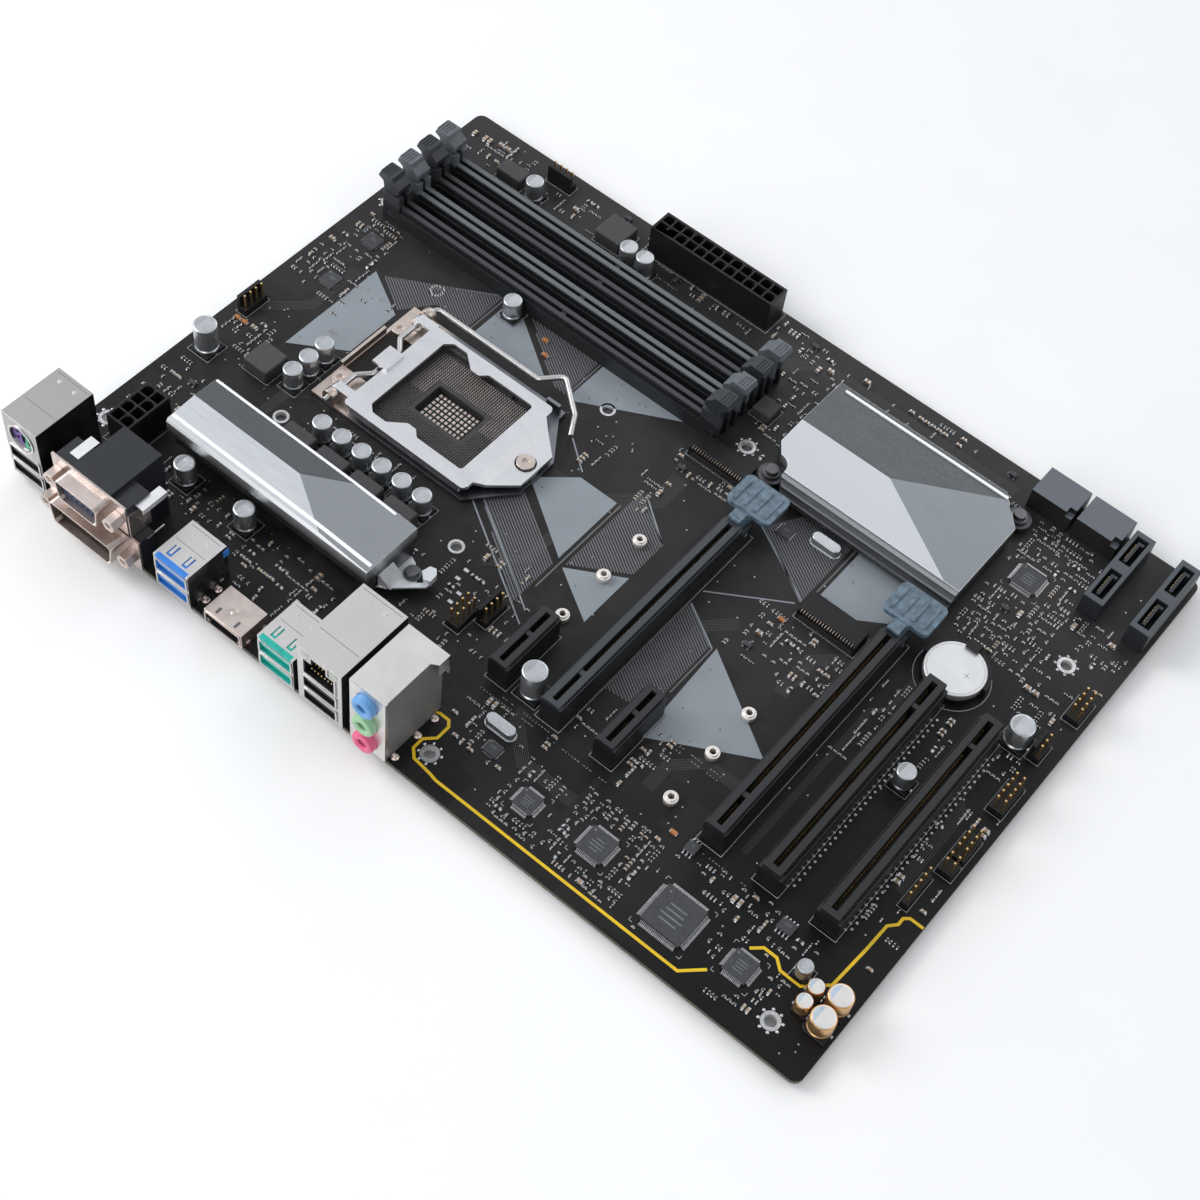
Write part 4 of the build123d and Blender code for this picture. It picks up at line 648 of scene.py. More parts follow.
# ======== Printed graphics and copper on the board ========
LIGHT_PATCHES = [
    [(25, 138), (25, 94), (43, 106), (43, 128)],
    [(67, 162), (67, 141), (98, 141)],
    [(108, 161), (146, 161), (111, 141), (108, 141)],
    [(120, 107), (132, 118), (147, 118), (147, 89)],
    [(150, 87), (168, 98), (168, 76)],
    [(204, 96), (238, 74.5), (206, 56)],
    [(216, 158), (216, 134), (230, 134), (240, 141), (232, 157)],
]
HATCHED_PATCHES = [
    [(28, 138), (64, 160), (64, 141), (50, 141), (42, 130)],
    [(75, 160), (106, 160), (106, 141), (101, 141)],
    [(111, 93), (120, 103), (147, 86.5), (147, 66)],
    [(150, 88.5), (150, 126.5), (168, 116), (168, 100)],
    [(187, 104), (202, 95.5), (202, 63.5), (187, 62)],
    [(187, 142.5), (213, 127), (213, 158), (196, 158)],
]
HATCH_PITCH, HATCH_WIDTH, HATCH_SLOPE = 0.9, 0.46, -0.62
LINE_WIDTH, AUDIO_WIDTH = 0.5, 0.95
FINE_LINES = [
    [(112, 88), (154, 62)], [(118, 130), (131, 120)], [(152, 127), (168, 115)], [(188, 110), (212, 126)],
    [(186, 143), (213, 128)], [(188, 104), (203, 95)], [(50, 151), (66, 161)], [(114, 91), (152, 67)],
]
EDGE_LINES = [  # x, from y, to y
    (65, 141, 160), (107, 141, 160), (148.5, 76, 118), (203, 74, 95), (214.6, 134, 158),
]
AUDIO_LINE = [
    [(155, 21.5), (157, 22.3), (160.5, 22.3), (162, 20.5), (162, 15.5), (159, 12.5), (159, 8.5), (161.5, 6),
     (168, 5.3), (171, 4.7), (260, 4.7), (266, 10.5)],
    [(271, 23.5), (274, 26.3), (278.5, 26.3), (281.5, 23.8), (288.5, 23.8), (295, 30), (296, 45), (296.3, 55),
     (298.5, 57.5), (298.5, 60), (300, 61.3), (304.6, 61.3)],
]


def hatch(piece, outline, tone):
    """Parallel strips that fill an outline."""
    offsets = [y - HATCH_SLOPE * x for x, y in outline]
    step = HATCH_PITCH / math.cos(math.atan(HATCH_SLOPE))
    for offset in span(min(offsets) + 0.5, max(offsets) - 0.5, step):
        crossings = []
        for (x0, y0), (x1, y1) in zip(outline, outline[1:] + outline[:1]):
            side0, side1 = y0 - HATCH_SLOPE * x0 - offset, y1 - HATCH_SLOPE * x1 - offset
            if side0 * side1 < 0:
                share = side0 / (side0 - side1)
                crossings.append((x0 + (x1 - x0) * share, y0 + (y1 - y0) * share))
        crossings.sort()
        for start, end in zip(crossings[::2], crossings[1::2]):
            if end[0] - start[0] > 0.5:
                piece.band([start, end], HATCH_WIDTH, 0.0, tone)


prints = Piece("printed_graphics", "board_laminate", LIGHT_INK, GREY_INK)
for outline in LIGHT_PATCHES:
    prints.sheet(outline)
for outline in HATCHED_PATCHES:
    hatch(prints, outline, 1)
for path in FINE_LINES:
    prints.band(path, LINE_WIDTH)
for x, y0, y1 in EDGE_LINES:
    prints.band([(x, y0), (x, y1)], LINE_WIDTH, 0.0, 1)
prints.make(smooth=None)
audio_line = Piece("audio_line", "board_laminate", YELLOW_INK)
for path in AUDIO_LINE:
    audio_line.band(path, AUDIO_WIDTH)
audio_line.make(smooth=None)

# Plated rings round the case and cooler holes, with a star of solder round each case hole
CASE_HOLES = [(6.35, 33.02), (6.35, 165.1)] + [(x, y) for x in (163.83, 288.29) for y in (10.16, 165.1)]
COOLER_HOLES = [(83.26 + u, 108.17 + v) for u in (-37.5, 37.5) for v in (-37.5, 37.5)]
STAR_RADIUS = 3.55
plating = Piece("hole_plating", "solder", SOLDER)
for holes, inner, outer in ((CASE_HOLES, 2.02, 3.0), (COOLER_HOLES, 2.04, 2.7)):
    for x, y in holes:
        for z in (0.0, UNDERSIDE - INK):
            plating.ring(x, y, inner, outer, z)
for x, y in CASE_HOLES:
    for u, v in circle(x, y, STAR_RADIUS, 8, math.radians(22.5)):
        plating.dome(u, v, 0, 0.48, 0.16)
        plating.dome(u, v, UNDERSIDE, 0.48, -0.16)
plating.make()

# ======== What stands on the board: a coarse map keeps small parts clear of it ========
CELL_SIZE, BOARD_MARGIN = 0.5, 1.5
taken = set()


def cells(x0, x1, y0, y1):
    columns = range(int(x0 / CELL_SIZE), int(x1 / CELL_SIZE) + 1)
    lines = range(int(y0 / CELL_SIZE), int(y1 / CELL_SIZE) + 1)
    return {(column, line) for column in columns for line in lines}


def claim(x0, x1, y0, y1):
    taken.update(cells(x0, x1, y0, y1))


def claim_round(x, y, reach):
    claim(x - reach, x + reach, y - reach, y + reach)


def is_free(x0, x1, y0, y1):
    if min(x0, y0) < BOARD_MARGIN or x1 > BOARD_LENGTH - BOARD_MARGIN or y1 > BOARD_DEPTH - BOARD_MARGIN:
        return False
    return taken.isdisjoint(cells(x0, x1, y0, y1))


def is_clear(x, y, reach_x, reach_y):
    return is_free(x - reach_x, x + reach_x, y - reach_y, y + reach_y)


CLEAR_OF_THE_TOP = {
    "circuit_board", "solder_tails", "socket_backplate", "heatsink_pins", "thermal_pads", "vrm_heatsink"}
for name in NODES:
    if name in CLEAR_OF_THE_TOP:
        continue
    for x0, x1, y0, y1, z0, z1 in solids(name):
        if z0 < 2.5:
            claim(x0 - 0.5, x1 + 0.5, y0 - 0.5, y1 + 0.5)
for x0, x1 in ((22, 34), (112, 124)):  # the two ends of the rear heatsink
    claim(x0, x1, 46, 57)
for x, y in CASE_HOLES:
    claim_round(x, y, 4.6)
for x, y in COOLER_HOLES:
    claim_round(x, y, 3.4)
for path in AUDIO_LINE:
    for (ax, ay), (bx, by) in zip(path, path[1:]):
        claim(min(ax, bx) - 0.8, max(ax, bx) + 0.8, min(ay, by) - 0.8, max(ay, by) + 0.8)

# ======== Chip leads and marks ========
leads = Piece("chip_leads", "solder", SOLDER, WHITE_INK)
chip_marks = Piece("chip_marks", "chip_epoxy", LASER_MARK)
FINE_PITCH, FINE_LEAD, WIDE_PITCH, WIDE_LEAD = 0.5, 0.24, 1.27, 0.4


def gull_lead(x, y, angle, reach, width):
    """One lead that leaves a package sideways, steps down and stands on its pad."""
    cos, sin = math.cos(math.radians(angle)), math.sin(math.radians(angle))
    loops = []
    for out, up in ((-0.2, 0.72), (reach * 0.35, 0.72), (reach * 0.55, 0.14), (reach, 0.10)):
        section = rectangle(-width / 2, width / 2, up, up + 0.14)
        loops.append([(x + out * cos - side * sin, y + out * sin + side * cos, z) for side, z in section])
    leads.loops(loops)
    leads.chip(x + reach * 0.8 * cos, y + reach * 0.8 * sin, 0, reach * 0.7, width * 1.3, 0.05, 0, 0, angle)


def corner_marks(outline, length):
    """Printed angles at the corners of an outline."""
    for (ax, ay), (bx, by) in zip(outline, outline[1:] + outline[:1]):
        share = length / math.hypot(bx - ax, by - ay)
        dx, dy = (bx - ax) * share, (by - ay) * share
        leads.band([(ax, ay), (ax + dx, ay + dy)], 0.16, 0.0, 1)
        leads.band([(bx, by), (bx - dx, by - dy)], 0.16, 0.0, 1)


for x0, x1, y0, y1, z0, z1 in solids("controller_chips"):
    wide, deep = x1 - x0, y1 - y0
    middle_x, middle_y = (x0 + x1) / 2, (y0 + y1) / 2
    if wide > 6.5:
        reach = 1.3 if wide > 9.5 else 1.0
        for x in span(x0 + 0.9, x1 - 0.9, FINE_PITCH):
            gull_lead(x, y0, -90, reach, FINE_LEAD)
            gull_lead(x, y1, 90, reach, FINE_LEAD)
        for y in span(y0 + 0.9, y1 - 0.9, FINE_PITCH):
            gull_lead(x0, y, 180, reach, FINE_LEAD)
            gull_lead(x1, y, 0, reach, FINE_LEAD)
        claim(x0 - 2.2, x1 + 2.2, y0 - 2.2, y1 + 2.2)
        corner_marks(rectangle(x0 - 2, x1 + 2, y0 - 2, y1 + 2), 1.2)
    elif z1 > 1.1:
        for x in span(x0 + 0.6, x1 - 0.6, WIDE_PITCH):
            gull_lead(x, y0, -90, 1.0, WIDE_LEAD)
            gull_lead(x, y1, 90, 1.0, WIDE_LEAD)
        claim(x0 - 0.6, x1 + 0.6, y0 - 1.4, y1 + 1.4)
    else:
        # A leadless package shows only its pads' ends.
        for along in span(-wide / 2 + 0.6, wide / 2 - 0.6, FINE_PITCH):
            for side in (-1, 1):
                leads.chip(middle_x + along, middle_y + side * (deep / 2 + 0.12), 0, 0.25, 0.5, 0.18)
                leads.chip(middle_x + side * (wide / 2 + 0.12), middle_y + along, 0, 0.5, 0.25, 0.18)
    chip_marks.turned((x0 + wide * 0.14, y1 - deep * 0.14, z1 - 0.02), [(0.35, 0.0), (0.35, 0.035)], 0, 16)
    for line in range(4 if wide > 6.5 else 2):
        length = wide * random.uniform(0.3, 0.55)
        at_y = middle_y + deep * (0.16 - 0.13 * line)
        chip_marks.chip(middle_x, at_y, z1 - 0.02, length, deep * 0.035, 0.03)
leads.make()
chip_marks.make()

# ======== Small parts ========
small = Piece("small_parts", "chip_epoxy", CERAMIC, RESISTOR, SOLDER, EPOXY, ORANGE)
silk = Piece("silk_marks", "board_laminate", WHITE_INK)
KINDS = {
    # length, depth, height, body tone
    "resistor": (1.0, 0.5, 0.36, 1), "capacitor": (1.0, 0.5, 0.5, 0),
    "large_capacitor": (1.7, 0.85, 0.8, 0),
    "broad_capacitor": (2.1, 1.3, 1.1, 0), "array": (2.0, 1.0, 0.5, 1), "transistor": (2.9, 1.4, 1.0, 3),
}


def small_part(kind, x, y, upright, piece=small):
    """One chip component on its solder, or a three-legged transistor."""
    length, depth, height, tone = KINDS[kind]
    angle = 90 if upright else 0

    def stand(along, across, z, wide, deep, high, tone, edge):
        dx, dy = (-across, along) if upright else (along, across)
        piece.chip(x + dx, y + dy, z, wide, deep, high, tone, edge, angle)

    if kind == "transistor":
        stand(0, 0, 0.12, length, depth, height, tone, 0.1)
        for along, side in ((-0.95, -1), (0.95, -1), (0.0, 1)):
            stand(along, side * (depth / 2 + 0.35), 0, 0.45, 0.8, 0.16, 2, 0)
        return
    stand(0, 0, 0.05, length * 0.62, depth * 0.96, height, tone, 0.04)
    for side in (-1, 1):
        stand(side * length * 0.38, 0, 0, length * 0.26, depth, height + 0.06, 2, 0.05)
        stand(side * length * 0.56, 0, 0, length * 0.18, depth * 0.9, height * 0.35, 2, height * 0.14)


def mark(x, y, length, upright):
    half_x, half_y = (0.07, length / 2) if upright else (length / 2, 0.07)
    silk.sheet(rectangle(x - half_x, x + half_x, y - half_y, y + half_y))


def scatter(x0, x1, y0, y1, groups, large=0.1):
    """Fills an area with short rows of like parts and the printed marks beside them."""
    weights = [6, 5, 12 * large, 6 * large, 1, 5 * large]
    for _ in range(groups):
        kind = random.choices(list(KINDS), weights)[0]
        length, depth, _, _ = KINDS[kind]
        upright = random.random() < 0.5
        row_along_x = random.random() < 0.6
        count = random.randint(1, 5 if depth < 1 else 2)
        x, y = round(random.uniform(x0, x1), 1), round(random.uniform(y0, y1), 1)
        wide, deep = (depth, length) if upright else (length, depth)
        margin = 0.8 if kind == "transistor" else 0.3
        for _ in range(count):
            left, right = x - wide / 2 - margin, x + wide / 2 + margin
            near, far = y - deep / 2 - margin, y + deep / 2 + margin
            if left >= x0 and right <= x1 and near >= y0 and far <= y1 and is_free(left, right, near, far):
                small_part(kind, x, y, upright)
                claim(left, right - 0.3, near, far - 0.3)
                if random.random() < 0.55:
                    mark(x - wide / 2 - 0.32, y, deep * 0.9, True)
                if random.random() < 0.55:
                    mark(x, y + deep / 2 + 0.32, wide * 0.9, False)
            if row_along_x:
                x += wide + 0.75
            else:
                y += deep + 0.75


CLUSTERS = [
    # x0, x1, y0, y1, groups, share of large parts
    (2, 23, 116, 160, 90, 0.1), (2, 24, 80, 96, 18, 0.2), (20, 108, 20, 36, 110, 0.3),
    (44, 100, 2, 20, 40, 0.2),
    (120, 160, 38, 70, 45, 0.1), (124, 156, 119, 136, 16, 0.3), (148, 174, 140, 151, 34, 0.2),
    (147, 172, 160, 218, 90, 0.3), (3, 152, 202, 219, 110, 0.3), (158, 184, 18, 37, 40, 0.2),
    (186, 204, 6, 30, 90, 0.05), (205, 235, 6, 34, 190, 0.05), (236, 264, 3, 38, 60, 0.1),
    (262, 287, 4, 40, 110, 0.1),
    (203, 238, 98, 121, 60, 0.15), (249, 258, 90, 130, 24, 0.1), (269, 279, 100, 132, 12, 0.2),
    (250, 280, 150, 208, 330, 0.06), (284, 303, 38, 128, 60, 0.15), (280, 303, 138, 186, 60, 0.15),
    (170, 250, 204, 219, 30, 0.2), (204, 218, 38, 62, 20, 0.1), (2, 24, 40, 76, 30, 0.2),
    (28, 120, 58, 64, 60, 0.3),
    (57, 112, 76, 84, 20, 0.1), (22, 56, 97, 140, 14, 0.1), (126, 146, 70, 84, 8, 0.1),
    (186, 202, 30, 60, 16, 0.1),
]
ORANGE_PARTS = [(233, 37.5), (6.5, 91), (9.5, 91), (91, 149), (212.5, 118), (87, 154)]
MARK_ROWS = [  # x0, x1, y
    (160, 180, 37.2), (186, 208, 37.2), (240, 262, 38.0), (212, 232, 61.4), (212, 232, 59.6),
    (166, 186, 39),
]
for cluster in CLUSTERS:
    scatter(*cluster)
for x, y in ORANGE_PARTS:
    small.chip(x, y, 0.05, 2.1, 1.2, 1.0, 4, 0.1)
    for side in (-1, 1):
        small.chip(x + side * 1.15, y, 0.0, 0.4, 1.2, 0.7, 2, 0.1)
for x0, x1, y in MARK_ROWS:
    for x in span(x0, x1, 1.15):
        if random.random() < 0.8 and is_clear(x, y, 0.4, 0.2):
            mark(x, y, random.uniform(0.4, 0.9), random.random() < 0.3)
small.make(smooth=None)

# ======== Vias, test points and slot solder rows on the top face ========
dots = Piece("solder_dots", "solder", SOLDER)
for slot_x in (263.2, 283.5):
    for offset in (4.6, 5.9):
        for y in span(45.0, 121.0, 2.54):
            dots.ring(slot_x + offset, y + offset - 4.6, 0.18, 0.42, 0.0, 0.05, 0, 10)


def vias(piece, count, inner, outer, tone):
    """Small plated holes at random free places."""
    for _ in range(count):
        x, y = random.uniform(3, BOARD_LENGTH - 3), random.uniform(3, BOARD_DEPTH - 3)
        if is_clear(x, y, 0.5, 0.5):
            piece.ring(x, y, inner, outer, 0.0, INK, tone, 8)


vias(dots, 420, 0.13, 0.27, 0)
for x, y in ((129, 54), (129, 58), (129, 62), (133, 54), (133, 58), (133, 66), (129, 66)):
    if is_clear(x, y, 0.8, 0.8):
        dots.chip(x, y, 0, 1.7, 1.1, 0.05)
dots.make(smooth=None)

# Outlines printed round the larger parts
x0, x1, y0, y1, _, _ = extent("coin_cell")
silk.ring((x0 + x1) / 2, (y0 + y1) / 2, (x1 - x0) / 2 + 2.2, (x1 - x0) / 2 + 2.4)
for name in ("main_power_connector", "cpu_power_connector", "graphics_slot", "expansion_slot"):
    x0, x1, y0, y1, _, _ = extent(name)
    outline = rectangle(x0 - 0.9, x1 + 0.9, y0 - 0.9, min(y1 + 0.9, BOARD_DEPTH - 0.4))
    silk.band(outline, 0.16, closed=True)
for name in ("x1_slots", "pci_slots", "pin_headers", "chokes", "polymer_capacitors", "m2_connectors"):
    for x0, x1, y0, y1, z0, z1 in solids(name):
        if z0 <= 1 and x1 <= BOARD_LENGTH - 0.6 and y1 <= BOARD_DEPTH - 1:
            silk.band(rectangle(x0 - 0.5, x1 + 0.5, y0 - 0.5, y1 + 0.5), 0.14, closed=True)
silk.make(smooth=None)

# Faint copper bundles between the socket, the memory and the slots: path, traces, pitch
BUNDLES = [
    ([(108, 141), (108, 150), (100, 158)], 10, 0.5), ([(40, 64), (40, 78), (46, 84)], 8, 0.5),
    ([(124, 112), (140, 112), (156, 128), (156, 140)], 12, 0.55),
    ([(188, 70), (196, 78), (196, 100), (204, 108)], 8, 0.6),
    ([(175, 40), (175, 36), (186, 26), (205, 26)], 8, 0.6),
    ([(236, 128), (236, 120), (228, 112), (228, 96)], 9, 0.55),
    ([(150, 200), (160, 210), (190, 210), (240, 210)], 10, 0.6),
    ([(292, 66), (292, 100), (288, 104), (288, 128)], 6, 0.7), ([(130, 72), (140, 82), (140, 96)], 7, 0.55),
    ([(8, 100), (20, 112), (20, 134)], 7, 0.6), ([(218, 44), (218, 54), (226, 62), (240, 62)], 7, 0.6),
    ([(252, 46), (252, 110), (256, 114), (256, 128)], 4, 0.6),
]
TRACE_THICKNESS = 0.015


def bundle_shifts(count, pitch):
    return [pitch * (index - (count - 1) / 2) for index in range(count)]


copper = Piece("copper_traces", "board_laminate", TRACE)
for path, count, pitch in BUNDLES:
    for shift in bundle_shifts(count, pitch):
        moved = []
        for (ax, ay), (x, y), (bx, by) in zip(path[:1] + path, path, path[1:] + path[-1:]):
            length = math.hypot(bx - ax, by - ay)
            moved.append((x - (by - ay) / length * shift, y + (bx - ax) / length * shift))
        copper.band(moved, 0.2, 0.0, 0, TRACE_THICKNESS)
copper.make(smooth=None)

# ======== Capacitor cans ========
VENT_DEPTH = 0.12


def capacitor_cans(name, node, slot, metal, marking, crown):
    """Crimped cans on moulded bases, with a printed segment on top and two feet."""
    piece = Piece(name, slot, metal, BLACK, marking, SOLDER, crown)
    for x0, x1, y0, y1, _, top in solids(node):
        x, y, radius = (x0 + x1) / 2, (y0 + y1) / 2, (x1 - x0) / 2
        base = [(-1, -0.7), (-0.7, -1), (1, -1), (1, 1), (-0.7, 1), (-1, 0.7)]
        steps = ((radius, 0), (radius, 0.85), (radius * 0.96, 1.0))
        piece.loops([[(x + u * half, y + v * half, z) for u, v in base] for half, z in steps], 1)
        side = [
            (0.94, 0.95), (0.98, 1.25), (0.98, 1.7), (0.90, 2.05), (0.90, 2.3), (0.98, 2.7),
            (0.98, top - 0.5),
            (0.95, top - 0.2), (0.87, top - 0.02),
        ]
        lid = [(0.80, top - 0.01), (0.78, top - VENT_DEPTH), (0.2 / radius, top - VENT_DEPTH)]
        profile = [(radius * share, z) for share, z in side + lid]
        piece.turned((x, y, 0), profile, [0] * (len(side) - 1) + [4] * len(lid), 40)
        turns = [math.radians(120 + 12 * step) for step in range(11)]
        reach = radius * 0.74
        segment = [(x + reach * math.cos(turn), y + reach * math.sin(turn)) for turn in turns]
        piece.sheet(segment, top - VENT_DEPTH, 2)
        for side_x in (-1, 1):
            piece.chip(x + side_x * radius * 0.9, y, 0, radius * 0.5, 0.9, 0.12, 3)
    piece.make(node)


capacitor_cans("capacitor_cans", "polymer_capacitors", "can_aluminium", CAN, GREY_PRINT, CAN)
capacitor_cans("audio_cans", "audio_capacitors", "gold_can", GOLD_CAN, GOLD_PRINT, PALE_CROWN)

# ======== Slot contacts and the ribs along their sides ========
contacts = Piece("slot_contacts", "contact_gold", GOLD)
ribs = {
    "grey": Piece("grey_slot_ribs", "grey_plastic", RIB_TONE),
    "black": Piece("black_slot_ribs", "black_plastic", BLACK),
    "slate": Piece("dark_slot_ribs", "black_plastic", RIB_TONE),
}
CONTACT_REACH = 0.6  # height of the springs' tips as a share of the slot's


def card_slot(box, tone, half, groove, shoulder, top, pitch, key, along_x=False, ends=2.4):
    """Spring contacts in both groove walls, clear of the key, and ribs on both (height, width) shoulders."""
    x0, x1, y0, y1 = box
    start, stop, middle = (x0, x1, (y0 + y1) / 2) if along_x else (y0, y1, (x0 + x1) / 2)
    step_height, step_width = shoulder
    rib = (ribs[tone], half - step_width, half - step_width * 0.55, 0.28, step_height - 0.02, top - 0.35)
    spring = (contacts, groove - 0.24, groove + 0.02, 0.26, 3.4, top * CONTACT_REACH)
    for place in span(start + ends, stop - ends, pitch):
        for side in (-1, 1):
            for piece, near, far, share, z0, z1 in ((rib, spring) if abs(place - key) > 1.3 else (rib,)):
                across = sorted((middle + side * near, middle + side * far))
                run = (place - pitch * share, place + pitch * share)
                spans = (*run, *across) if along_x else (*across, *run)
                piece.block(*spans, z0, z1, 0, 0.1)


EXPRESS_SLOT = ("black", 3.75, 0.9, (10.0, 0.7), 11.2, 1.0)
for name, tone in (("graphics_slot", "grey"), ("expansion_slot", "black")):
    x0, x1, y0, y1, _, _ = extent(name)
    card_slot((x0, x1, y0, y0 + 89.0), tone, *EXPRESS_SLOT[1:], y0 + 14.5)
for x0, x1, y0, y1, _, _ in solids("x1_slots"):
    card_slot((x0, x1, y0, y1), *EXPRESS_SLOT, y0 + 14.5)
for x0, x1, y0, y1, _, _ in solids("pci_slots"):
    card_slot((x0, x1, y0, y1), "black", 4.2, 1.0, (8.6, 1.0), 11.2, 1.27, 114.0)
for number in LATCH_TONE:
    x0, x1, y0, y1, _, _ = extent(f"memory_slot_{number}")
    card_slot((x0 + 7.6, x1 - 7.6, y0, y1), "slate", 3.25, 0.8, (6.3, 0.8), 8.5, 0.85, 87.4, True, 1.0)
for piece in (contacts, *ribs.values()):
    piece.make(smooth=None)

# ======== Processor socket: contact field, and the small capacitors in its well ========
x0, x1, y0, y1, _, _ = extent("cpu_socket")
SOCKET_X, SOCKET_Y, SEAT = (x0 + x1) / 2, (y0 + y1) / 2, 3.0
CONTACT_PITCH, FIELD_HALF, WELL_X, WELL_Y = 0.9144, 17.4, 11.4, 7.9
field = Piece("socket_contact_field", "contact_gold", CONTACT_TIP, CONTACT_WELL)
for x in span(-FIELD_HALF, FIELD_HALF, CONTACT_PITCH):
    for y in span(-FIELD_HALF, FIELD_HALF, CONTACT_PITCH):
        if abs(x) < WELL_X and abs(y) < WELL_Y:
            continue
        at_x, at_y = SOCKET_X + x, SOCKET_Y + y
        field.chip(at_x, at_y, SEAT, 0.62, 0.42, 0.02, 1)
        lean = 0.22 if y > 0 else -0.22
        spring = []
        for height, shift, half in ((0.0, -lean, 0.11), (0.34, lean * 0.4, 0.10), (0.42, lean, 0.07)):
            section = rectangle(at_x - half, at_x + half, at_y + shift - half, at_y + shift + half)
            spring.append([(u, v, SEAT + height) for u, v in section])
        field.loops(spring)
field.make("socket_contacts", smooth=None)

well = Piece("well_parts", "chip_epoxy", WELL_CERAMIC, SOLDER, BLACK)
for x in span(-7.8, 7.8, 1.72):
    for y in span(-4.7, 4.7, 1.86):
        well.chip(SOCKET_X + x, SOCKET_Y + y, 0.05, 1.0, 0.55, 0.9, 0, 0.05)
        for end in (-0.42, 0.42):
            well.chip(SOCKET_X + x, SOCKET_Y + y + end, 0.0, 1.05, 0.32, 0.95, 1, 0.05)
well.make(smooth=None)

# ======== Rear connectors: lips, linings, tongues, pins and springs ========
LIP = 0.3  # how far a mouth's rolled edge stands out from its shell
lips = Piece("port_lips", "port_steel", PORT_STEEL, PINK_STEEL)
linings = {
    "black": Piece("black_port_linings", "black_plastic", BLACK, PAINTED_SHADE),
    "blue": Piece("blue_port_linings", "blue_plastic", BLUE, PAINTED_SHADE),
    "teal": Piece("teal_port_linings", "teal_plastic", TEAL, PAINTED_SHADE),
}
port_contacts = Piece("port_contacts", "contact_gold", GOLD)
seams = Piece("port_seams", "dark_steel", DARK_STEEL)
lamps = Piece("network_lamps", "light_grey_plastic", SIGNAL)
holes = Piece("connector_holes", "black_plastic", PAINTED_SHADE)


def rounded(x, z, half_x, half_z, radius, steps=4):
    """The (x, z) outline of a rectangle with round corners."""
    outline = []
    for quarter, (side_x, side_z) in enumerate(((1, 1), (-1, 1), (-1, -1), (1, -1))):
        for step in range(steps + 1):
            turn = math.pi / 2 * (quarter + step / steps)
            outline.append((x + side_x * (half_x - radius) + radius * math.cos(turn),
                            z + side_z * (half_z - radius) + radius * math.sin(turn)))
    return outline


def around(x, z, x0, x1, z0, z1, sides=32):
    """Points along a rectangle, one opposite each point of a circle inside it."""
    outline = []
    for u, v in circle(0, 0, 1, sides):
        reach_x = ((x1 - x) if u > 0 else (x0 - x)) / u if abs(u) > 1e-9 else 1e9
        reach_z = ((z1 - z) if v > 0 else (z0 - z)) / v if abs(v) > 1e-9 else 1e9
        reach = min(reach_x, reach_z)
        outline.append((x + u * reach, z + v * reach))
    for corner in rectangle(x0, x1, z0, z1):
        outline[min(range(sides), key=lambda step: math.dist(outline[step], corner))] = corner
    return outline


def data_mouth(x, y0, z, lining):
    """One mouth of a stack: rolled lip, lining, tongue with four contacts, and a near-black wall of painted
    shade behind it.
    """
    lips.collar(rounded(x, z, 6.1, 2.4, 0.5), rounded(x, z, 6.8, 3.05, 0.9), y0 + 0.1, y0 - LIP)
    lining.collar(rounded(x, z, 5.85, 2.15, 0.3), rounded(x, z, 6.25, 2.55, 0.6), y0 - LIP * 0.4, y0 + 11.2)
    lining.upright(rounded(x, z + 1.0, 5.6, 1.02, 0.25), y0 + 0.2, y0 + 2.2)
    lining.upright(rounded(x, z - 0.1, 5.8, 2.1, 0.2), y0 + 6.5, y0 + 6.8, 1)
    for along in (-3.5, -1.0, 1.0, 3.5):
        port_contacts.block(x + along - 0.5, x + along + 0.5, y0 + 0.8, y0 + 6.4, z - 0.12, z)


def coloured_top(x0, x1, y0, y1, top, lining):
    """Springs over the coloured body in the two slots of a shell's top, and the body's edges."""
    x = (x0 + x1) / 2
    for at_x in (x - 3.2, x + 3.2):
        lining.block(at_x - 0.95, at_x + 0.95, y0 + 2.5, y0 + 6.7, top - 0.28, top - 0.22)
        spring = [
            (y0 + 6.9, top - 0.05), (y0 + 5.6, top - 0.02), (y0 + 4.0, top - 0.12), (y0 + 3.2, top - 0.2)]
        lips.loops([[(u, y, v) for u, v in rectangle(at_x - 0.5, at_x + 0.5, z, z + 0.1)] for y, z in spring])
    lining.block(x0 + 0.9, x1 - 0.9, y0 - LIP * 0.6, y0 + 1.6, top - 0.9, top + 0.03)
    lining.block(x1 - 0.4, x1 + 0.3, y1 - 1.8, y1 + 0.4, 11.6, 14.4, 0, 0.2)


def shell_details(x0, x1, y0, y1, top):
    """Seams, board tabs and rivets of a folded steel shell."""
    for wall, tab in ((x0, (x0 - 0.35, x0 + 0.05)), (x1, (x1 - 0.05, x1 + 0.35))):
        for y in (y0 + 3.6, y1 - 3.2):
            for z in (5.2, 9.6):
                seams.block(wall - 0.06, wall + 0.06, y - 1.6, y + 1.6, z, z + 0.3)
            lips.block(*tab, y - 0.7, y + 0.7, 0, 1.5)
    for y in (y0 + 8.4, y1 - 1.4):
        seams.block(x0 + 1.2, x1 - 1.2, y, y + 0.16, top - 0.02, top + 0.015)
    for at_x in ((x0 + x1) / 2 - 3.2, (x0 + x1) / 2 + 3.2):
        lips.turned((at_x, y1 - 3.6, top), [(0.8, -0.02), (0.7, 0.08), (0.35, 0.14)], 0, 16)


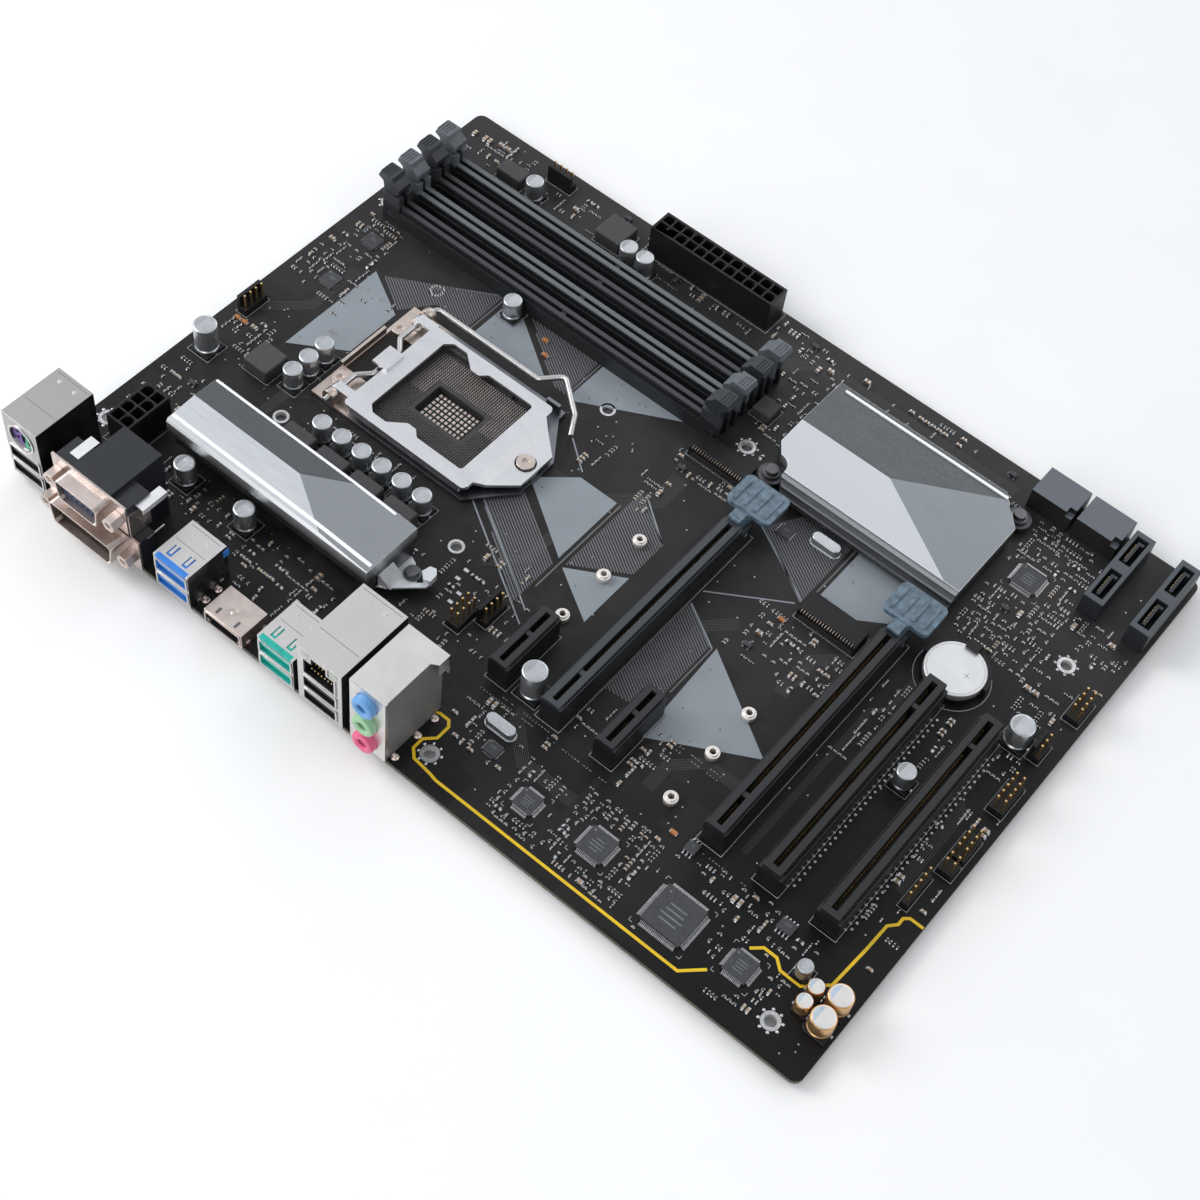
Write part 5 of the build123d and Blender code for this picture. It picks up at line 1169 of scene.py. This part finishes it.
for node, heights, tone in (
    ("keyboard_port_shell", (4.6, 11.8), "black"), ("usb_blue_shell", (4.3, 11.5), "blue"),
    ("usb_teal_shell", (4.3, 11.5), "teal"), ("lan_port_shell", (4.3, 11.5), "black"),
):
    x0, x1, y0, y1, _, top = extent(node)
    for z in heights:
        data_mouth((x0 + x1) / 2, y0, z, linings[tone])
    shell_details(x0, x1, y0, y1, top)
    if tone != "black":
        coloured_top(x0, x1, y0, y1, top, linings[tone])


def stepped(x, grow):
    """The outline of the network mouth: wide, with the latch's narrower step on top."""
    wide, narrow = 6.0 + grow, 3.0 + grow
    low, middle, high = 16.2 - grow, 23.4 + grow, 26.4 + grow
    return [(x - wide, low), (x + wide, low), (x + wide, middle), (x + narrow, middle),
            (x + narrow, high), (x - narrow, high), (x - narrow, middle), (x - wide, middle)]


def network_mouth():
    """Stepped lip, eight sprung wires and two lamps."""
    x0, x1, y0, _, _, _ = extent("lan_port_shell")
    x = (x0 + x1) / 2
    lips.collar(stepped(x, -0.1), stepped(x, 0.6), y0 + 0.1, y0 - LIP)
    linings["black"].collar(stepped(x, -0.45), stepped(x, -0.05), y0 - LIP * 0.4, y0 + 12.0)
    # A near-black wall of painted shade at the back of the mouth.
    linings["black"].upright(stepped(x, -0.3), y0 + 9.4, y0 + 9.8, 1)
    wire = [(y0 + 1.6, 17.2), (y0 + 3.0, 17.0), (y0 + 9.3, 20.6)]
    for along in span(-4.445, 4.445, 1.27):
        loops = []
        for y, z in wire:
            steps = ((-0.2, -0.1), (0.2, -0.1), (0.2, 0.1), (-0.2, 0.1))
            loops.append([(x + along + u, y + v, z + 2 * v) for u, v in steps])
        port_contacts.loops(loops)
    for side in (-1, 1):
        lamps.upright(rounded(x + side * 5.6, 25.8, 1.5, 0.9, 0.3), y0 - 0.12, y0 + 0.3)
    lamps.make()


def digital_video_mouth():
    """Low tinned shell with a black tongue."""
    x0, x1, y0, y1, _, top = extent("hdmi_port")
    x, z = (x0 + x1) / 2, 3.4
    lips.collar(rounded(x, z, 6.85, 2.2, 0.6), rounded(x, z, 7.4, 2.75, 1.0), y0 + 0.1, y0 - LIP, 1)
    inner, outer = rounded(x, z, 6.55, 1.9, 0.4), rounded(x, z, 6.95, 2.28, 0.7)
    linings["black"].collar(inner, outer, y0 - LIP * 0.4, y0 + 8.0)
    linings["black"].upright(rounded(x, z + 0.3, 5.5, 0.5, 0.1), y0 + 0.9, y0 + 2.2)
    for along in span(-4.5, 4.5, 1.0):
        port_contacts.block(x + along - 0.2, x + along + 0.2, y0 + 1.0, y0 + 7.6, 4.2, 4.26)
    lips.turned((x, y0 + 5.2, top), [(1.2, -0.02), (1.0, 0.06), (0.5, 0.14)], 1, 20)
    for side in (-1, 1):
        at_x = x + side * 3.8
        seams.block(at_x - 0.5, at_x + 0.5, y0 + 1.2, y0 + 3.6, top - 0.02, top + 0.015)
        at_x = x + side * 7.7
        for y in (y0 + 2.0, y1 - 2.4):
            lips.block(at_x - 0.35, at_x + 0.35, y, y + 1.4, 0, 1.3, 1)


def keyboard_mouth():
    """Rim, pin holes and key way of the round port."""
    x0, x1, y0, _, _, _ = extent("keyboard_port_shell")
    x, z, pin_circle = (x0 + x1) / 2, 21.6, 2.9
    lips.collar(circle(x, z, 4.75, 40), circle(x, z, 5.5, 40), y0 + 0.1, y0 - LIP)
    # The pin holes and the key way are near-black sheets of painted shade.
    for degrees in (22, 62, 118, 158, 212, 328):
        turn = math.radians(degrees)
        at = (x + pin_circle * math.cos(turn), 0.02, z + pin_circle * math.sin(turn))
        holes.turned(at, [(0.5, -0.02), (0.5, 0.04)], 0, 12, "y")
    holes.upright(rounded(x, z - 0.6, 0.75, 1.5, 0.2), -0.03, 0.05)


VIDEO_X, DVI_Z = 38.2, 7.4
VIDEO_FACES = (
    # tone, z, half widths at top and foot, half height, face y, columns, pitch, shift of each row of holes
    (0, 22.0, 8.2, 7.2, 3.75, -4.9, 5, 2.3, (0.575, -0.575, 0.575)),
    (1, DVI_Z, 12.6, 11.4, 4.2, -4.6, 8, 1.95, (-2.2, -2.2, -2.2)),
)


def video_inserts():
    """Plastic faces of the two video ports, with three rows of holes each and the blade's cross."""
    inserts = Piece("video_inserts", "black_plastic", VGA_FACE, DVI_FACE)
    for tone, z, top_half, low_half, high, face, columns, pitch, shifts in VIDEO_FACES:
        corners = ((-low_half, -high), (low_half, -high), (top_half, high), (-top_half, high))
        inserts.upright([(VIDEO_X + u, z + v) for u, v in corners], face, -2.1, tone)
        # Each hole, and the blade's cross below, is a near-black disc of painted shade.
        for row_z_shift, shift in zip((2.0, 0.0, -2.0), shifts):
            for along in span(-pitch * (columns - 1) / 2, pitch * (columns - 1) / 2, pitch):
                at = (VIDEO_X + along + shift, face, z + row_z_shift)
                holes.turned(at, [(0.45, -0.02), (0.45, 0.03)], 0, 12, "y")
    for half_x, half_z in ((2.0, 0.3), (0.3, 2.0)):
        holes.upright(rounded(VIDEO_X + 9.0, DVI_Z, half_x, half_z, 0.1), -4.63, -4.5)
    inserts.make()
    holes.make()


def video_straps():
    """Bright straps that hold the video stack together."""
    straps = Piece("video_straps", "port_steel", STRAP)
    straps.block(26.0, 29.8, 3.0, 11.6, 26.9, 27.3, 0, 0.1)
    straps.block(26.0, 26.4, 3.0, 11.6, 20.0, 27.1)
    straps.block(53.2, 56.6, 3.2, 13.0, 25.6, 26.0, 0, 0.1)
    straps.block(56.2, 56.6, 3.2, 13.0, 24.0, 25.8)
    straps.block(56.7, 57.1, 3.0, 10.0, 12.6, 13.0)
    straps.make()


def audio_block():
    """Pressed cover with a plate round each jack, and the jacks' rounded rims."""
    cover = Piece("audio_cover", "port_steel", COVER_STEEL)
    jack_rims = Piece("audio_jack_rims", "jack_plastic", JACKS, PAINTED_SHADE)
    x0, x1, y0, y1, _, top = extent("audio_housing")
    front, back, far = y0 - 0.32, y1 + 0.25, x1 + 2.3
    outline = [(x0, front), (x1, front), (x1, y1 - 5.6), (far, y1 - 4.2), (far, back), (x0, back)]
    cover.sheet(outline, top, 0, 0.28)
    cover.block(far - 0.25, far, y1 - 4.2, back, top - 5.5, top + 0.1)
    cover.block(x0, far, y1, back, top - 9.0, top + 0.1)
    cover.block(x1, x1 + 0.22, front, y0 + 0.9, 0.2, top + 0.1)
    x = 149.3
    rim = [(3.92, 2.5), (3.85, 3.0), (3.4, 3.4), (2.6, 3.5), (2.0, 3.3), (1.7, 2.9), (1.7, 2.4)]
    for z, low, high in ((5.8, 0.1, 10.4), (15.4, 10.4, 20.2), (25.0, 20.2, top + 0.2)):
        cover.collar(circle(x, z, 4.15), around(x, z, x0, x1, low, high), y0 + 0.02, front)
        jack_rims.hoop((x, 0, z), rim, 0, 40, "y")
        # A near-black disc of painted shade deep in each jack's bore.
        jack_rims.turned((x, 0, z), [(1.74, 1.4), (1.74, 1.45)], 1, 24, "y")
    cover.make()
    jack_rims.make()


def port_feet():
    """Tinned feet beside the ports."""
    feet = Piece("port_feet", "solder", TINNED_FOOT)
    for x, y in ((157.1, 2.6), (157.1, 12.4), (78.6, 4.6), (78.6, 9.8), (157.0, 20.0)):
        feet.chip(x, y, 0, 1.5, 1.1, 1.6, 0, 0.3)
        feet.dome(x, y, 0, 1.3, 0.6)
    feet.make()


network_mouth()
digital_video_mouth()
keyboard_mouth()
video_inserts()
video_straps()
audio_block()
port_feet()
for piece in (lips, port_contacts, seams, *linings.values()):
    piece.make()

# ======== Power connectors: cut corners of some terminal cavities ========
TERMINAL_PITCH, CAVITY_HALF, CAVITY_CUT = 4.2, 1.78, 1.0
keying = Piece("power_keying", "black_plastic", BLACK)
for node, columns, rows, middle_y in (
    ("main_power_connector", 12, 2, 214.4), ("cpu_power_connector", 2, 4, 36.4),
):
    x0, x1, _, _, _, z1 = extent(node)
    middle_x = 18.1 if node == "cpu_power_connector" else (x0 + x1) / 2
    for column in range(columns):
        for line in range(rows):
            if (column * 7 + line * 3) % 5 < 2:
                continue
            x = middle_x + TERMINAL_PITCH * (column - (columns - 1) / 2)
            y = middle_y + TERMINAL_PITCH * (line - (rows - 1) / 2) + CAVITY_HALF
            for side in (-1, 1):
                at_x = x + side * CAVITY_HALF
                outline = [(at_x, y), (at_x - side * CAVITY_CUT, y), (at_x, y - CAVITY_CUT)]
                keying.sheet(outline, 2.4, 0, z1 - 2.6)
keying.make(smooth=None)

# ======== Heatsinks: the ear past the rear one's end, and painted highlights along the cut edges ===
EAR_LEVEL = 3.62
ear = Piece("heatsink_ear", "heatsink_aluminium", EAR_METAL)
plate = [(114.4, 40.6), (117.2, 42.3), (122.8, 47.9), (122.4, 50.5), (117.4, 55.4), (114.4, 56.6)]
ear.sheet(plate, EAR_LEVEL, 0, 0.5)
ear.band([(116.4, 42.6), (125.2, 51.0), (125.2, 54.6)], 1.7, EAR_LEVEL, 0, 0.7)
boss = [(121.9, 53.3), (124.3, 51.2), (126.4, 52.0), (126.2, 55.2), (124.6, 56.9), (122.6, 56.3)]
ear.sheet(boss, EAR_LEVEL, 0, 2.6)
ear.loops([[(114.6, y, 4.0), (118.6, y + 1.4, 4.0), (114.6, y, 10.5)] for y in (41.4, 47.8)])
ear.make()
# A near-white strip along the chipset heatsink's front edge: a painted highlight.
front_edge = Piece("chipset_front_edge", "heatsink_aluminium", EDGE_HIGHLIGHT)
front_edge.block(177.0, 241.5, 199.6, 200.5, 8.0, 9.05, 0, 0.1)
front_edge.make()


def vrm_top(x, y):
    """Height of the rear heatsink's top at a place: the lowest of its three facets' planes."""
    return min(17.3 + 0.06 * (y - 36.9), 18.0 - 0.06 * (y - 48.6), 18.0 - 0.038 * (x - 75.8))


VRM_START, EDGE_STEPS = 31.4, 12
# Near-white strips along the rear heatsink's two long top edges: painted highlights.
trim = Piece("vrm_edge_highlights", "heatsink_aluminium", EDGE_HIGHLIGHT)
for y0, y1, x1 in ((38.2, 39.7, 114.3), (57.3, 58.4, 107.0)):
    section = ((y0, -0.1), (y0 + 0.25, 0.16), (y1 - 0.25, 0.16), (y1, -0.1))
    loops = []
    for step in range(EDGE_STEPS + 1):
        x = VRM_START + (x1 - VRM_START) * step / EDGE_STEPS
        loops.append([(x, y, vrm_top(x, y) + rise) for y, rise in section])
    trim.loops(loops)
trim.make()

# ======== Memory latches: finger ridges that move with them ========
for number, tone in LATCH_TONE.items():
    slot = "black_plastic" if number % 2 else "grey_plastic"
    for name, side in (("left", -1), ("right", 1)):
        latch = f"memory_latch_{number}_{name}"
        x0, x1, y0, y1, _, top = extent(latch)
        ridges = Piece(f"latch_ridges_{number}_{name}", slot, tone, body=latch)
        middle = (y0 + y1) / 2
        for step in range(4):
            at_x = (x0 if side < 0 else x1) - side * (0.9 + 1.1 * step)
            ridges.block(at_x - 0.28, at_x + 0.28, middle - 2.5, middle + 2.5, top - 0.1, top + 0.28, 0, 0.12)
        ridges.make()

# ======== Card edge, data and battery details ========
DATA_PITCH = 1.27
fittings = Piece("small_fittings", "spring_steel", STEEL, CARD_SPRING)
strips = Piece("data_contacts", "contact_gold", GOLD)
for x0, x1, y0, y1, z0, z1 in solids("m2_connectors"):
    if x1 - x0 < 12:
        continue
    for x in span(x0 + 1.4, x1 - 1.4, 1.0):
        fittings.block(x - 0.18, x + 0.18, y0 - 0.9, y0 + 0.1, 0, 0.14)
        fittings.block(x - 0.16, x + 0.16, y0 - 0.05, y0 + 1.2, z1 - 0.8, z1 + 0.06, 1)
for x in (282.9, 299.8):
    for y in (193.0, 209.7):
        for along in span(-3.8, 3.8, DATA_PITCH):
            strips.block(x - 1.0, x - 0.88, y + along - 0.32, y + along + 0.32, 3.0, 8.6)
for x in (253.0, 270.0):
    for along in span(-3.8, 3.8, DATA_PITCH):
        strips.block(x + along - 0.32, x + along + 0.32, 213.6, 220.3, 4.68, 4.8)
# The groove and the plus sign of the coin cell
cell_x, cell_y, top = 263.9, 137.2, extent("coin_cell")[5]
fittings.hoop((cell_x, cell_y, top), [(8.9, -0.02), (9.3, -0.02), (9.25, 0.05), (8.95, 0.05)], 0, 48)
plus_x = cell_x + 4
for half_x, half_y in ((1.3, 0.2), (0.2, 1.3)):
    fittings.block(plus_x - half_x, plus_x + half_x, cell_y - half_y, cell_y + half_y, top - 0.02, top + 0.03)
fittings.make()
strips.make()
BARREL_BORE, BARREL_WALL = 1.93, 2.04
# Tinned barrels, lightened as painted light for the brightness seen through the holes.
barrels = Piece("hole_barrels", "solder", BARREL_TIN_AND_PAINTED_LIGHT)
for x, y in CASE_HOLES + COOLER_HOLES:
    section = [(BARREL_BORE, UNDERSIDE), (BARREL_WALL, UNDERSIDE), (BARREL_WALL, 0.01), (BARREL_BORE, 0.01)]
    barrels.hoop((x, y, 0), section)
barrels.make()

# ======== Underside: solder joints, small parts and printed marks ========
taken.clear()
for name in ("socket_backplate", "solder_tails", "heatsink_pins"):
    for x0, x1, y0, y1, z0, z1 in solids(name):
        if z0 < UNDERSIDE + 0.2:
            claim(x0 - 1.0, x1 + 1.0, y0 - 1.0, y1 + 1.0)
for x, y in CASE_HOLES + COOLER_HOLES:
    claim_round(x, y, 4.8)
joints = Piece("underside_joints", "solder", SOLDER)


def joint(x, y, radius, height):
    """A trimmed and soldered pin under the board, left out where something else stands."""
    if is_clear(x, y, radius, radius):
        joints.dome(x, y, UNDERSIDE + 0.01, radius, -height, 0, 6)
        claim_round(x, y, radius)


for number in LATCH_TONE:
    x0, x1, y0, y1, _, _ = extent(f"memory_slot_{number}")
    middle = (y0 + y1) / 2
    for line, offset in enumerate((-2.2, -0.8, 0.8, 2.2)):
        for x in span(x0 + 9, x1 - 9, 1.7):
            joint(x + 0.85 * (line % 2), middle + offset, 0.36, 0.6)
for name in ("graphics_slot", "expansion_slot", "x1_slots", "pci_slots"):
    pitch = 2.54 if name == "pci_slots" else 2.0
    for x0, x1, y0, y1, _, _ in solids(name):
        for line, offset in enumerate((-2.4, -0.8, 0.8, 2.4)):
            for y in span(y0 + 2.5, y1 - 2.5, pitch):
                joint((x0 + x1) / 2 + offset, y + (line % 2), 0.38, 0.6)
JOINT_FIELDS = [
    # node, pitch along x, pitch along y, radius
    ("main_power_connector", 4.2, 4.2, 0.95), ("cpu_power_connector", 4.2, 4.2, 0.95),
    ("pin_headers", 2.54, 2.54, 0.55), ("polymer_capacitors", 3.5, 9, 0.6),
    ("audio_capacitors", 2.5, 9, 0.6),
    ("chokes", 5.0, 5.0, 1.0), ("crystals", 4.9, 9, 0.45), ("sata_ports", 1.27, 2.5, 0.42),
    ("m2_connectors", 18.0, 3.0, 0.7), ("keyboard_port_inserts", 2.3, 3.0, 0.5),
    ("usb_blue_shell", 2.3, 3.2, 0.5),
    ("usb_teal_shell", 2.3, 3.2, 0.5), ("lan_port_shell", 1.9, 2.6, 0.5), ("hdmi_port", 1.6, 3.4, 0.4),
    ("audio_housing", 4.2, 5.0, 0.65), ("video_housing", 1.95, 2.6, 0.45), ("coin_cell", 17.0, 9, 0.9),
]
OVER_THE_BOARD = ("keyboard_port_inserts", "coin_cell")  # nodes whose pins come from over 2 mm up
for name, pitch_x, pitch_y, radius in JOINT_FIELDS:
    for x0, x1, y0, y1, z0, z1 in solids(name):
        if z0 > 2 and name not in OVER_THE_BOARD:
            continue
        for x in span(x0 + 1.2, x1 - 1.2, pitch_x) if x1 - x0 > 3 else [(x0 + x1) / 2]:
            for y in span(max(y0, 2.4) + 1.0, y1 - 1.0, pitch_y) if y1 - y0 > 3 else [(y0 + y1) / 2]:
                joint(x, y, radius, radius * 1.25)
joints.make(smooth=60)

small_below = Piece("underside_parts", "chip_epoxy", CERAMIC, RESISTOR, SOLDER, EPOXY)
silk_below = Piece("underside_marks", "board_laminate", WHITE_INK)
AREAS_BELOW = [
    # x0, x1, y0, y1, groups, share of large parts
    (60, 108, 84, 132, 60, 0.2), (20, 130, 16, 62, 90, 0.3), (120, 200, 60, 140, 70, 0.1),
    (170, 250, 150, 205, 120, 0.1), (150, 300, 10, 60, 90, 0.1), (10, 150, 196, 216, 40, 0.2),
    (230, 300, 120, 200, 60, 0.1), (8, 56, 66, 150, 30, 0.1),
]
KINDS_BELOW = ["resistor", "capacitor", "large_capacitor", "transistor"]
GAP_BELOW = 0.6
for x0, x1, y0, y1, groups, large in AREAS_BELOW:
    for _ in range(groups):
        kind = random.choices(KINDS_BELOW, [6, 6, 12 * large, 4 * large])[0]
        length, depth, _, _ = KINDS[kind]
        x, y = random.uniform(x0, x1), random.uniform(y0, y1)
        for _ in range(random.randint(1, 6)):
            left, right = x - length / 2 - GAP_BELOW, x + length / 2 + GAP_BELOW
            near, far = y - depth / 2 - GAP_BELOW, y + depth / 2 + GAP_BELOW
            if is_free(left, right, near, far):
                small_part(kind, x, y, False, small_below)
                claim(left, right, near, far)
                for side in (-1, 1):
                    at_y = y + side * (depth / 2 + 0.35)
                    silk_below.sheet(rectangle(x - 0.5, x + 0.5, at_y, at_y + 0.12))
            y += depth + 1.5
for name in (
    "memory_slot_1", "memory_slot_2", "memory_slot_3", "memory_slot_4", "graphics_slot", "expansion_slot",
    "main_power_connector", "audio_housing", "lan_port_shell", "coin_cell",
):
    x0, x1, y0, y1, _, _ = extent(name)
    silk_below.band(rectangle(x0, x1, max(y0, 1.0), min(y1, BOARD_DEPTH - 1.0)), 0.2, closed=True)
trace_below = Piece("underside_copper", "board_laminate", TRACE)
for path, count, pitch in BUNDLES:
    for shift in bundle_shifts(count, pitch):
        trace_below.band([(x + shift, y + shift) for x, y in path], 0.22, 0.0, 0, TRACE_THICKNESS)
vias(small_below, 500, 0.14, 0.3, 2)
for piece in (small_below, silk_below, trace_below):
    piece.points = [(x, y, UNDERSIDE - z) for x, y, z in piece.points]
    piece.make(smooth=None)

# ======== Floor, light and camera ========
CAMERA_AT = (0.200845, -0.326808, 0.529273)
CAMERA_AZIMUTH, CAMERA_ELEVATION, CAMERA_ROLL = 31.455, 55.744, 9.348
CAMERA_LENS = 62.01
ROOM_BRIGHT_SIDE = (-0.6, 0.3, 0.0)
ROOM_LEVELS = (-0.6, 0.6, 0.32, 0.92)  # the side's reach either way, and the room's strength there
FLOOR_REACH, FLOOR_GAP = 3.0, 0.0005  # metres: the sheet's half width, and its drop below the part


def studio():
    """The floor sheet, the room's light and four lamps."""
    mesh = bpy.data.meshes.new("floor")
    corners = rectangle(-FLOOR_REACH, FLOOR_REACH, -FLOOR_REACH, FLOOR_REACH)
    mesh.from_pydata([(x, y, cad_low.z - FLOOR_GAP) for x, y in corners], [], [(0, 1, 2, 3)])
    floor = bpy.data.objects.new("floor", mesh)
    bpy.context.collection.objects.link(floor)
    paper = finish("floor_paper", (0.9, 0.9, 0.9), 0.9, spread=0.01, scale=20.0, grain=300.0, bump=0.02)
    mesh.materials.append(paper)
    world = bpy.data.worlds.new("studio")
    bpy.context.scene.world = world
    world.use_nodes = True
    background = world.node_tree.nodes["Background"]
    background.inputs[0].default_value = (0.93, 0.96, 1.0, 1.0)
    # The room is brighter on the far left and darker on the near right.
    nodes, links = world.node_tree.nodes, world.node_tree.links
    toward = nodes.new("ShaderNodeVectorMath")
    toward.operation = "DOT_PRODUCT"
    toward.inputs[1].default_value = ROOM_BRIGHT_SIDE
    links.new(nodes.new("ShaderNodeTexCoord").outputs["Generated"], toward.inputs[0])
    level = nodes.new("ShaderNodeMapRange")
    for socket, value in zip(level.inputs[1:5], ROOM_LEVELS):
        socket.default_value = value
    links.new(toward.outputs["Value"], level.inputs[0])
    links.new(level.outputs[0], background.inputs[1])
    for name, at, size, power in (
        ("key", (-1.0, -0.42, 0.80), 0.7, 9.5),
        ("fill", (0.95, 0.55, 0.95), 0.9, 2.5),
        ("rear", (0.1, -1.1, 0.7), 0.8, 4.0),
        ("back", (-0.3, 1.5, 1.1), 1.0, 3.0),
    ):
        lamp = bpy.data.lights.new(name, "AREA")
        lamp.size = size
        lamp.energy = power
        obj = bpy.data.objects.new(name, lamp)
        obj.location = at
        obj.rotation_euler = (-Vector(at)).to_track_quat("-Z", "Y").to_euler()
        bpy.context.collection.objects.link(obj)


def photo_camera():
    """The camera at the viewing angle, with its roll."""
    azimuth, elevation = math.radians(CAMERA_AZIMUTH), math.radians(CAMERA_ELEVATION)
    back = Vector((
        math.sin(azimuth) * math.cos(elevation),
        -math.cos(azimuth) * math.cos(elevation),
        math.sin(elevation),
    ))
    right = (-back).cross(Vector((0, 0, 1))).normalized()
    up = back.cross(right)
    roll = math.radians(CAMERA_ROLL)
    right, up = math.cos(roll) * right + math.sin(roll) * up, math.cos(roll) * up - math.sin(roll) * right
    lens = bpy.data.cameras.new("camera")
    lens.lens = CAMERA_LENS
    lens.sensor_width = 36.0
    lens.clip_start = 0.01
    camera = bpy.data.objects.new("camera", lens)
    turn = Matrix((right, up, back)).transposed().to_4x4()
    camera.matrix_world = Matrix.Translation(CAMERA_AT) @ turn
    bpy.context.collection.objects.link(camera)
    bpy.context.scene.camera = camera


studio()
photo_camera()
bpy.context.scene.view_settings.view_transform = "Standard"
